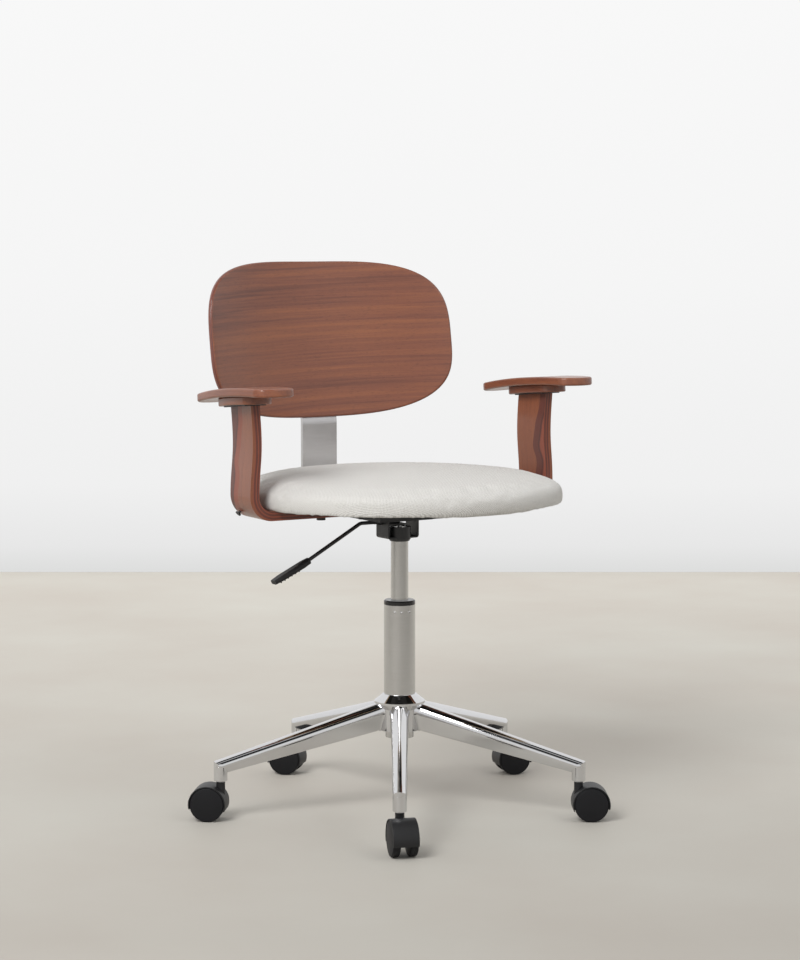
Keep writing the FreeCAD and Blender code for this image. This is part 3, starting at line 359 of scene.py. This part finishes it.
def arm_depth(tree, place):
    """Distance through the bent board from its outer face: a rounded corner's distance, less the sway."""
    across, ahead, up = arm_parts(tree, place)
    toe = maths(tree, "MULTIPLY", maths(tree, "SUBTRACT", ahead, 0.011), 0.049)
    sway = node(tree, "FloatCurve")
    bend = sway.mapping.curves[0]
    bend.points[0].location = (0.0, 0.5)
    bend.points[1].location = (1.0, 0.6)
    for spot in ((0.12, 0.47), (0.48, 0.06), (0.8, 0.32)):
        bend.points.new(*spot)
    sway.mapping.update()
    high = node(tree, "MapRange", i1=0.517, i2=0.665)
    join(tree, up, high.inputs[0])
    join(tree, high.outputs[0], sway.inputs["Value"])
    bow = maths(tree, "MULTIPLY", maths(tree, "SUBTRACT", sway.outputs[0], 0.5), 0.010)
    x = maths(tree, "SUBTRACT", maths(tree, "SUBTRACT", maths(tree, "SUBTRACT", across, toe), bow), 0.244)
    z = maths(tree, "SUBTRACT", 0.516, up)
    corner = node(tree, "CombineXYZ")
    join(tree, maths(tree, "MAXIMUM", x, 0.0), corner.inputs[0])
    join(tree, maths(tree, "MAXIMUM", z, 0.0), corner.inputs[1])
    reach = node(tree, "VectorMath", operation="LENGTH")
    join(tree, corner.outputs[0], reach.inputs[0])
    inner = maths(tree, "MINIMUM", maths(tree, "MAXIMUM", x, z), 0.0)
    return maths(tree, "SUBTRACT", 0.037, maths(tree, "ADD", reach.outputs["Value"], inner))


def pad_place(tree, place):
    """Arm pads and supports: the grain runs fore and aft."""
    turned = node(tree, "Mapping", vector_type="POINT")
    turned.inputs["Rotation"].default_value = (0, 0, math.radians(90))
    turned.inputs["Location"].default_value = (0.1, 0.3, 0.0)
    join(tree, place, turned.inputs["Vector"])
    return turned.outputs[0]


def mirror_chrome():
    made, tree, shader, place = material("mirror_chrome", Metallic=1.0, Roughness=0.05)
    film = use_group(tree, DUST, Place=place, Size=1.0)
    colour = blend(tree, film["Blotch"], (0.72, 0.72, 0.73), (0.65, 0.65, 0.66))
    join(tree, colour, shader.inputs["Base Color"])
    join(tree, maths(tree, "ADD", 0.02, maths(tree, "MULTIPLY", film["Blotch"], 0.05)), shader.inputs["Roughness"])
    return made


def satin_steel(name, colour, low, high, brushed):
    """Satin metal with fine brushing; brushed is the stretch of the streaks on X, Y and Z."""
    made, tree, shader, place = material(name, Metallic=1.0)
    streak = noise(tree, stretched(tree, place, brushed), 30.0, 3.0, 0.6)
    film = use_group(tree, DUST, Place=place, Size=1.0)
    tone = blend(tree, streak, [c * 0.88 for c in colour], [min(1, c * 1.1) for c in colour])
    join(tree, tone, shader.inputs["Base Color"])
    mixed = maths(tree, "ADD", maths(tree, "MULTIPLY", streak, 0.6), maths(tree, "MULTIPLY", film["Blotch"], 0.4))
    join(tree, maths(tree, "ADD", low, maths(tree, "MULTIPLY", mixed, high - low)), shader.inputs["Roughness"])
    bump(tree, shader, streak, 0.05, 0.0002)
    return made


def moulded(name, colour, rough, grain=0.25, size=1.0, metallic=0.0, gloss=0.5):
    """Moulded plastic or powder coat: fine pebbled grain and slow sheen changes."""
    made, tree, shader, place = material(name, Metallic=metallic, Specular_IOR_Level=gloss)
    film = use_group(tree, DUST, Place=place, Size=size)
    tone = blend(tree, film["Blotch"], [c * 0.8 for c in colour], [min(1, c * 1.25) for c in colour])
    join(tree, tone, shader.inputs["Base Color"])
    uneven = maths(tree, "ADD", rough - 0.06, maths(tree, "MULTIPLY", film["Blotch"], 0.14))
    join(tree, uneven, shader.inputs["Roughness"])
    bump(tree, shader, film["Speck"], grain, 0.0003)
    return made


def seat_wool():
    made, tree, shader, place = material("seat_wool", Roughness=0.92, Specular_IOR_Level=0.25, Sheen_Weight=0.25,
                                         Sheen_Roughness=0.5)
    layout = node(tree, "UVMap", uv_map="cloth")
    weave = use_group(tree, WEAVE, Cloth_Place=layout.outputs[0])
    # The weave's value carries painted shade in the gaps between yarns as well as the yarn tone
    colour = ramp(tree, weave["Value"], ((0.25, (0.36, 0.35, 0.325)), (0.5, (0.60, 0.59, 0.565)),
                                         (0.8, (0.80, 0.79, 0.765))))
    cloud = noise(tree, place, 9.0, 4.0, 0.6)
    colour = blend(tree, maths(tree, "MULTIPLY", cloud, 0.22), colour, (0.47, 0.46, 0.435))
    colour = blend(tree, maths(tree, "MULTIPLY", weave["Fleck"], 0.3), colour, (0.33, 0.31, 0.28))
    join(tree, colour, shader.inputs["Base Color"])
    bump(tree, shader, weave["Height"], 0.55, 0.0011)
    return made


def underlining():
    made, tree, shader, place = material("underlining", Roughness=0.95, Specular_IOR_Level=0.1)
    fibre = noise(tree, stretched(tree, place, (1.0, 0.7, 1.0)), 1400.0, 3.0, 0.7)
    join(tree, ramp(tree, fibre, ((0.3, 0.008), (0.7, 0.035))), shader.inputs["Base Color"])
    bump(tree, shader, fibre, 0.5, 0.0004)
    return made


def bare_ply():
    made, tree, shader, place = material("bare_ply", Specular_IOR_Level=0.3)
    grain = use_group(tree, GRAIN, Grain_Place=pad_place(tree, place))
    colour = ramp(tree, grain["Figure"], ((0.3, (0.44, 0.30, 0.18)), (0.6, (0.62, 0.47, 0.31))))
    join(tree, blend(tree, grain["Pores"], colour, (0.3, 0.19, 0.1)), shader.inputs["Base Color"])
    join(tree, maths(tree, "ADD", 0.6, maths(tree, "MULTIPLY", grain["Lines"], 0.2)), shader.inputs["Roughness"])
    bump(tree, shader, grain["Lines"], 0.2, 0.0004)
    return made


FINISH = {
    "shell_walnut": lacquered_walnut("shell_walnut", shell_place, shell_depth, 0.009, 0.0015),
    "arm_walnut": lacquered_walnut("arm_walnut", arm_place, arm_depth, 0.015, 0.0025, 0.4),
    "pad_walnut": lacquered_walnut("pad_walnut", pad_place, calm=0.7),
    "chrome": mirror_chrome(),
    "bar_chrome": satin_steel("bar_chrome", (0.62, 0.61, 0.615), 0.16, 0.3, (1.0, 1.0, 40.0)),
    "column_satin": satin_steel("column_satin", (0.60, 0.595, 0.585), 0.17, 0.27, (1.0, 1.0, 30.0)),
    "zinc": satin_steel("zinc", (0.55, 0.55, 0.56), 0.25, 0.4, (8.0, 8.0, 8.0)),
    "black_coat": moulded("black_coat", (0.022, 0.022, 0.024), 0.42, 0.3),
    "gloss_black": moulded("gloss_black", (0.015, 0.015, 0.016), 0.16, 0.05),
    "black_nylon": moulded("black_nylon", (0.011, 0.011, 0.012), 0.42, 0.35, gloss=0.35),
    "wheel_nylon": moulded("wheel_nylon", (0.008, 0.008, 0.0095), 0.5, 0.25, gloss=0.22),
    "white_bush": moulded("white_bush", (0.78, 0.78, 0.76), 0.45, 0.1),
    "bumper_rubber": moulded("bumper_rubber", (0.02, 0.02, 0.02), 0.8, 0.4),
    "wool": seat_wool(),
    "underlining": underlining(),
    "ply": bare_ply(),
}


# Pieces carried over from the frame


def only(piece):
    """Make this object the one that operators act on."""
    if bpy.context.object and bpy.context.object.mode != "OBJECT":
        bpy.ops.object.mode_set(mode="OBJECT")
    bpy.ops.object.select_all(action="DESELECT")
    piece.select_set(True)
    bpy.context.view_layer.objects.active = piece


def clothe(piece, finish):
    piece.data.materials.clear()
    piece.data.materials.append(FINISH[finish])


def smooth_copy(name, body, finish, angle=30):
    """A copy of a frame node with its corners merged and its curves shaded smooth, which stands for it."""
    only(cad[name])
    cad[name].hide_viewport = False
    bpy.ops.object.duplicate()
    piece = bpy.context.object
    piece.name = name + "_finished"
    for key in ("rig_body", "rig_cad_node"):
        if key in piece:
            del piece[key]
    piece.parent = None
    only(piece)
    bpy.ops.object.mode_set(mode="EDIT")
    bpy.ops.mesh.select_all(action="SELECT")
    bpy.ops.mesh.remove_doubles(threshold=0.00002)
    bpy.ops.object.mode_set(mode="OBJECT")
    if piece.data.has_custom_normals:
        bpy.ops.mesh.customdata_custom_splitnormals_clear()
    bpy.ops.object.shade_smooth_by_angle(angle=math.radians(angle))
    clothe(piece, finish)
    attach(piece, body)
    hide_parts(name)
    return piece


PLAIN = {
    "base_hub": "chrome", "column_tube": "column_satin", "column_ring": "gloss_black", "guide_bush": "white_bush",
    "thrust_bearing": "zinc", "piston_rod": "zinc", "retaining_clip": "zinc", "rubber_bumper": "bumper_rubber",
    "gas_tube": "column_satin", "valve_pin": "zinc", "taper_socket": "black_coat", "mechanism_bracket": "black_coat",
    "mechanism_doubler": "black_coat", "mechanism_plate": "black_coat", "seat_bolts": "black_coat", "tee_nuts": "zinc",
    "lever_rod": "black_coat", "lever_grip": "black_nylon", "seat_panel": "ply", "seat_dust_cover": "underlining",
    "arm_screws": "zinc", "back_bar": "bar_chrome", "back_shell": "shell_walnut", "back_bolts": "zinc",
    "castor_sleeves": "zinc", "arm_buttons": "black_nylon",
}
for hand in ("right", "left"):
    PLAIN["arm_frame_" + hand] = "arm_walnut"
    PLAIN["arm_plate_" + hand] = "black_coat"
    PLAIN["arm_support_" + hand] = "pad_walnut"
    PLAIN["arm_pad_" + hand] = "pad_walnut"
for number in range(1, 6):
    PLAIN["base_leg_%d" % number] = "chrome"
    PLAIN["castor_hood_%d" % number] = "black_nylon"
    PLAIN["castor_pins_%d" % number] = "zinc"
    PLAIN["castor_wheel_a_%d" % number] = "wheel_nylon"
    PLAIN["castor_wheel_b_%d" % number] = "wheel_nylon"
for name, finish in PLAIN.items():
    clothe(cad[name], finish)


# Star base and castors with clean round surfaces, which the mirror chrome shows up


HUB_RADIUS, SPIGOT_REACH, SPIGOT_RADIUS = 0.0335, 0.2947, 0.01075
CASTOR_TRAIL, WHEEL_RADIUS = 0.0194, 0.027
FIRST_LEG, LEG_STEP = 237.5, 72
CASTOR_HEADINGS = (12.4, 19.5, -36.7, 38.7, -24.2)


def ring(radius, height, segments):
    """Circle in the XY plane, alone in edit mode and selected."""
    bpy.ops.object.select_all(action="DESELECT")
    bpy.ops.mesh.primitive_circle_add(vertices=segments, radius=radius, location=(0, 0, 0))
    bpy.ops.object.mode_set(mode="EDIT")
    bpy.ops.transform.translate(value=(0, 0, height))


def turned(name, profile, segments=96):
    """Turned piece about Z; the profile is (radius, height) points in order round its section."""
    ring(profile[0][0], profile[0][1], segments)
    for (r0, z0), (r1, z1) in zip(profile, profile[1:]):
        bpy.ops.mesh.extrude_edges_move(TRANSFORM_OT_translate={"value": (0, 0, z1 - z0)})
        bpy.ops.transform.resize(value=(r1 / r0, r1 / r0, 1), center_override=(0, 0, z1))
    bpy.ops.mesh.select_all(action="SELECT")
    bpy.ops.mesh.remove_doubles(threshold=0.00001)
    bpy.ops.mesh.fill_holes(sides=0)
    bpy.ops.mesh.normals_make_consistent(inside=False)
    bpy.ops.object.mode_set(mode="OBJECT")
    piece = bpy.context.object
    piece.name = name
    return piece


def settle(piece, finish, body, stands_for, angle=35):
    """Smooth shading, finish, body and the frame node that the piece stands for."""
    only(piece)
    bpy.ops.object.transform_apply(location=True, rotation=True, scale=True)
    bpy.ops.object.shade_smooth_by_angle(angle=math.radians(angle))
    clothe(piece, finish)
    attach(piece, body)
    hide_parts(stands_for)


def star_hub():
    piece = turned("hub_turned", ((0.0225, 0.1265), (0.0330, 0.1265), (0.0335, 0.1270), (0.0335, 0.1620),
                                  (0.0405, 0.1700), (0.0405, 0.1735), (0.0400, 0.1739), (0.0262, 0.1847),
                                  (0.0250, 0.1850), (0.0245, 0.1840), (0.0225, 0.1265)))
    settle(piece, "chrome", "base", "base_hub", 12)


star_hub()


def leg_point(reach, angle, grow=0.0, skirt=None):
    """Point of a leg's egg-shaped tube along +X; angle runs round the section, skirt sets X from Y."""
    share = (reach - HUB_RADIUS) / (SPIGOT_REACH - HUB_RADIUS)
    crown = 0.015 + (SPIGOT_RADIUS - 0.015) * share
    keel = 0.006 + 0.001 * share
    top = 0.172 - 0.075 * share
    high = top - crown
    low = top - (0.046 - 0.022 * share) + keel
    lean = math.asin((crown - keel) / (high - low))
    y, z = math.cos(angle), math.sin(angle)
    if z >= -math.sin(lean):
        y, z = y * (crown + grow), high + z * (crown + grow)
    else:
        y, z = y * (keel + grow), low + z * (keel + grow)
    return Vector((skirt(y) if skirt else reach, y, z))


def star_leg():
    """One leg along +X: a grid wrapped round the tapered tube, a weld bead at the hub and a mitred tip."""
    stations = [0.040 + (SPIGOT_REACH - 0.040) * count / 12 for count in range(13)]
    rows = len(stations) + 6
    columns = 64
    bpy.ops.object.select_all(action="DESELECT")
    bpy.ops.mesh.primitive_grid_add(x_subdivisions=columns, y_subdivisions=rows - 1, size=1, location=(0, 0, 0))
    leg = bpy.context.object

    def on_hub(past):
        return lambda y: math.sqrt(max(HUB_RADIUS ** 2 - y * y, 0)) + past

    def on_spigot(y):
        return SPIGOT_REACH + math.sqrt(max(SPIGOT_RADIUS ** 2 - y * y, 0))

    for v in leg.data.vertices:
        column, row = round((v.co.x + 0.5) * columns), round((v.co.y + 0.5) * (rows - 1))
        angle = math.tau * column / columns
        if row == 0:
            v.co = leg_point(0.0300, angle)
        elif row <= 3:
            past, grow = ((-0.0006, 0.0012), (0.0008, 0.0010), (0.0021, 0.0))[row - 1]
            v.co = leg_point(HUB_RADIUS, angle, grow, on_hub(past))
        elif row < rows - 2:
            v.co = leg_point(stations[row - 4], angle)
        else:
            end = leg_point(SPIGOT_REACH, angle, 0.0, on_spigot)
            v.co = Vector((end.x, end.y, leg_point(end.x, angle).z))
            if row == rows - 1 and v.co.z > 0.0861:
                v.co.z = 0.0861
    only(leg)
    bpy.ops.object.mode_set(mode="EDIT")
    bpy.ops.mesh.select_all(action="SELECT")
    bpy.ops.mesh.remove_doubles(threshold=0.00001)
    bpy.ops.mesh.fill_holes(sides=0)
    bpy.ops.mesh.normals_make_consistent(inside=False)
    bpy.ops.object.mode_set(mode="OBJECT")
    spigot = turned("spigot", ((0.0004, 0.0800), (0.0087, 0.0800), (0.00875, 0.0634), (0.0091, 0.0632),
                               (0.0104, 0.0632), (SPIGOT_RADIUS, 0.0635), (SPIGOT_RADIUS, 0.0860),
                               (0.0106, 0.0862), (0.0004, 0.0862)), 64)
    spigot.data.transform(Matrix.Translation((SPIGOT_REACH, 0, 0)))
    only(leg)
    spigot.select_set(True)
    bpy.ops.object.join()
    return leg


def castor_wheel():
    """Solid nylon wheel, turned: plain discs, rounded tread edges and a shallow parting line in the tread."""
    return turned("castor_wheel", ((0.0004, 0.0195), (0.0252, 0.0195), (0.0259, 0.0193), (0.0266, 0.0186),
                                   (0.0270, 0.0179), (0.0270, 0.0137), (0.0269, 0.0135), (0.0270, 0.0133),
                                   (0.0270, 0.0091), (0.0266, 0.0083), (0.0259, 0.0077), (0.0252, 0.0075),
                                   (0.0004, 0.0075)), 96)


def again(first, name):
    """Copy of a finished shape, with its own mesh."""
    only(first)
    bpy.ops.object.duplicate()
    bpy.context.object.name = name
    return bpy.context.object


leg_blank, wheel_blank = star_leg(), castor_wheel()
for number, heading in enumerate(CASTOR_HEADINGS, 1):
    turn = math.radians(FIRST_LEG + LEG_STEP * (number - 1))
    leg = again(leg_blank, "base_leg_%d_welded" % number)
    leg.rotation_euler = (0, 0, turn)
    settle(leg, "chrome", "base", "base_leg_%d" % number)
    facing = turn + math.radians(heading)
    hub_of_wheels = (SPIGOT_REACH * math.cos(turn) + CASTOR_TRAIL * math.cos(facing),
                     SPIGOT_REACH * math.sin(turn) + CASTOR_TRAIL * math.sin(facing), WHEEL_RADIUS)
    for side, tip in (("a", 90), ("b", -90)):
        wheel = again(wheel_blank, "castor_wheel_%s_%d_turned" % (side, number))
        wheel.location = hub_of_wheels
        wheel.rotation_euler = (math.radians(tip), 0, facing)
        settle(wheel, "wheel_nylon", "wheel_%s_%d" % (side, number), "castor_wheel_%s_%d" % (side, number))
    smooth_copy("castor_hood_%d" % number, "castor_%d" % number, "black_nylon")
for blank in (leg_blank, wheel_blank):
    bpy.data.objects.remove(blank)


# Seat cushion: foam in woven wool, swelled by simulation from the frame's own form


def cushion_outline(angle):
    """Rough radius of the seat's outline in plan, for laying the cloth out flat."""
    c, s = abs(math.cos(angle)), abs(math.sin(angle))
    return ((c / 0.248) ** 2.45 + (s / 0.247) ** 2.45) ** (-1 / 2.45)


def lay_cloth(piece):
    """UV map in metres: from the crown outwards, then down the side and under."""
    cloth = piece.data.uv_layers.new(name="cloth")
    centre = Vector((0, -0.0055))
    for loop in piece.data.loops:
        p = piece.data.vertices[loop.vertex_index].co
        flat = Vector((p.x, p.y)) - centre
        far = max(flat.length, 1e-6)
        rim = cushion_outline(math.atan2(flat.y, flat.x))
        share = min(1, far / rim)
        crown = 0.545 - 0.018 * share ** 2
        reach = far + max(0.0, crown - p.z) * share ** 6
        cloth.data[loop.index].uv = flat / far * reach


def seat_cushion():
    only(cad["seat_cushion"])
    bpy.ops.object.duplicate()
    piece = bpy.context.object
    piece.name = "seat_cushion_wool"
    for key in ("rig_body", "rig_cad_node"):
        if key in piece:
            del piece[key]
    piece.parent = None
    only(piece)
    bpy.ops.object.mode_set(mode="EDIT")
    bpy.ops.mesh.select_all(action="SELECT")
    bpy.ops.mesh.remove_doubles(threshold=0.00002)
    bpy.ops.object.mode_set(mode="OBJECT")
    if piece.data.has_custom_normals:
        bpy.ops.mesh.customdata_custom_splitnormals_clear()
    skin = piece.modifiers.new("skin", "REMESH")
    skin.mode = "VOXEL"
    skin.voxel_size = 0.005
    bpy.ops.object.modifier_apply(modifier="skin")
    bpy.ops.object.mode_set(mode="EDIT")
    bpy.ops.mesh.select_all(action="SELECT")
    bpy.ops.mesh.vertices_smooth(factor=0.5, repeat=4)
    bpy.ops.object.mode_set(mode="OBJECT")
    held = piece.vertex_groups.new(name="held")
    still = [v.index for v in piece.data.vertices if v.co.z < 0.500 or is_under(v.co)]
    held.add(still, 1.0, "REPLACE")
    rest = [v.co.copy() for v in piece.data.vertices]
    cloth = piece.modifiers.new("cloth", "CLOTH")
    cloth.settings.use_pressure = True
    cloth.settings.uniform_pressure_force = 2.0
    cloth.settings.tension_stiffness = 25
    cloth.settings.compression_stiffness = 25
    cloth.settings.bending_stiffness = 4
    cloth.settings.vertex_group_mass = "held"
    cloth.settings.effector_weights.gravity = 0
    for count in range(1, 16):
        bpy.context.scene.frame_set(count)
    bpy.ops.object.modifier_apply(modifier="cloth")
    for v, start in zip(piece.data.vertices, rest):
        moved = v.co - start
        if moved.length > 0.003:
            v.co = start + moved * (0.003 / moved.length)
    bpy.context.scene.frame_set(1)
    piece.vertex_groups.clear()
    for v in piece.data.vertices:
        if v.co.z < 0.512 and not is_under(v.co):
            v.co.z -= 0.0027 * min(1.0, (0.512 - v.co.z) / 0.010)
    soften = piece.modifiers.new("soften", "SUBSURF")
    soften.levels = soften.render_levels = 1
    bpy.ops.object.modifier_apply(modifier="soften")
    bpy.ops.object.shade_smooth()
    lay_cloth(piece)
    clothe(piece, "wool")
    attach(piece, "seat")
    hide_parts("seat_cushion")
    return piece


def is_under(p):
    """True for points of the hollow that the seat panel fills."""
    flat = Vector((p.x, p.y + 0.0055))
    return p.z < 0.5085 and flat.length < cushion_outline(math.atan2(flat.y, flat.x)) - 0.0115


cushion = seat_cushion()


# Studio: pale floor with painted light along the view, glowing pale wall with painted shade near the floor that shows
# from the front only, soft light


def floor_paint():
    made, tree, shader, place = material("floor_paint", Roughness=0.62, Specular_IOR_Level=0.25)
    cloud = noise(tree, place, 1.6, 5.0, 0.55)
    colour = ramp(tree, cloud, ((0.3, (0.905, 0.84, 0.755)), (0.7, (0.985, 0.955, 0.87))))
    # Painted light and shade: the floor colour is darkened near the chair and towards the camera and left full towards
    # the wall, setting the floor's brightness along the view in place of the lamps
    ahead = node(tree, "VectorMath", operation="DOT_PRODUCT")
    join(tree, place, ahead.inputs[0])
    ahead.inputs[1].default_value = (0.538, 0.843, 0)
    far = node(tree, "MapRange", i1=-1.2, i2=2.7)
    join(tree, ahead.outputs["Value"], far.inputs[0])
    painted_light_falloff = ramp(tree, far.outputs[0], ((0.118, 0.435), (0.318, 0.548), (0.536, 0.70), (0.792, 0.87), (0.967, 1.0)))
    join(tree, blend(tree, 1.0, colour, painted_light_falloff, "MULTIPLY"), shader.inputs["Base Color"])
    return made


def wall_glow_painted_shade():
    """Near-white wall that glows by emission rather than being lit, with painted shade darker towards the floor, seen
    only from the chair's side.
    """
    made = bpy.data.materials.new("wall_glow_painted_shade")
    made.use_nodes = True
    tree = made.node_tree
    tree.nodes.remove(tree.nodes["Principled BSDF"])
    glow = node(tree, "Emission", Strength=1.0)
    place = node(tree, "TexCoord").outputs["Object"]
    parts = node(tree, "SeparateXYZ")
    join(tree, place, parts.inputs[0])
    high = node(tree, "MapRange", i1=0.0, i2=1.6)
    join(tree, maths(tree, "ADD", parts.outputs[1], 14.99), high.inputs[0])
    # Painted shade: the glow is darkest where the wall meets the floor and brightens upwards
    glow_with_painted_shade = ramp(tree, high.outputs[0], ((0.0, (0.72, 0.725, 0.72)), (0.045, (0.80, 0.80, 0.80)), (0.15, 0.87),
                                         (0.5, 0.915), (1.0, 0.94)))
    join(tree, glow_with_painted_shade, glow.inputs["Color"])
    clear = node(tree, "BsdfTransparent")
    face = node(tree, "NewGeometry").outputs["Backfacing"]
    rays = node(tree, "LightPath").outputs
    hidden = maths(tree, "MAXIMUM", face, rays["Is Diffuse Ray"])
    hidden = maths(tree, "MAXIMUM", hidden, rays["Is Shadow Ray"])
    either = node(tree, "MixShader")
    join(tree, hidden, either.inputs[0])
    join(tree, glow.outputs[0], either.inputs[1])
    join(tree, clear.outputs[0], either.inputs[2])
    join(tree, either.outputs[0], tree.nodes["Material Output"].inputs["Surface"])
    return made


bpy.ops.object.select_all(action="DESELECT")
bpy.ops.mesh.primitive_plane_add(size=40, location=(0, 0, -0.0002))
floor = bpy.context.object
floor.name = "floor"
floor.data.materials.append(floor_paint())
ahead = Vector((math.sin(math.radians(32.54)), math.cos(math.radians(32.54)), 0))
bpy.ops.mesh.primitive_plane_add(size=30, location=ahead * 2.724 + Vector((0, 0, 14.99)),
                                 rotation=(math.radians(90), 0, math.radians(-32.54)))
wall = bpy.context.object
wall.name = "wall"
wall.data.materials.append(wall_glow_painted_shade())


def soft_box(name, azimuth, elevation, distance, wide, tall, watts):
    """Area light that faces the chair; azimuth 0 stands on the sitter's side, at -Y."""
    a, e = math.radians(azimuth), math.radians(elevation)
    way = Vector((math.sin(a) * math.cos(e), -math.cos(a) * math.cos(e), math.sin(e)))
    spot = Vector((0, 0, 0.45)) + way * distance
    bpy.ops.object.light_add(type="AREA", location=spot)
    lamp = bpy.context.object
    lamp.name = name
    lamp.rotation_mode = "QUATERNION"
    lamp.rotation_quaternion = (-way).to_track_quat("-Z", "Y")
    lamp.data.shape = "RECTANGLE"
    lamp.data.size = wide
    lamp.data.size_y = tall
    lamp.data.energy = watts
    return lamp


soft_box("key_box", -65, 40, 3.6, 1.6, 1.6, 98)
soft_box("fill_box", 25, 40, 4.0, 2.2, 1.4, 22)


def studio_air():
    """Even pale light all round; mirrors see a pale room with a dark ceiling."""
    world = bpy.data.worlds.new("studio_air")
    bpy.context.scene.world = world
    world.use_nodes = True
    tree = world.node_tree
    air = tree.nodes["Background"]
    air.inputs["Color"].default_value = (1.0, 0.99, 0.975, 1)
    air.inputs["Strength"].default_value = 0.52
    seen = node(tree, "Background", Color=(0.93, 0.93, 0.925, 1), Strength=1.0)
    room = node(tree, "Background", Strength=1.0)
    way = node(tree, "TexCoord").outputs["Generated"]
    parts = node(tree, "SeparateXYZ")
    join(tree, way, parts.inputs[0])
    shades = ramp(tree, parts.outputs[2], ((0.0, 0.78), (0.30, 0.9), (0.52, 0.75), (0.60, 0.03), (0.86, 0.02),
                                           (0.90, 0.5), (0.95, 0.5), (0.97, 0.03)))
    join(tree, shades, room.inputs["Color"])
    rays = node(tree, "LightPath").outputs
    first, second = node(tree, "MixShader"), node(tree, "MixShader")
    join(tree, rays["Is Glossy Ray"], first.inputs[0])
    join(tree, air.outputs[0], first.inputs[1])
    join(tree, room.outputs[0], first.inputs[2])
    join(tree, rays["Is Camera Ray"], second.inputs[0])
    join(tree, first.outputs[0], second.inputs[1])
    join(tree, seen.outputs[0], second.inputs[2])
    join(tree, second.outputs[0], tree.nodes["World Output"].inputs["Surface"])


studio_air()
bpy.context.scene.view_settings.view_transform = "Standard"
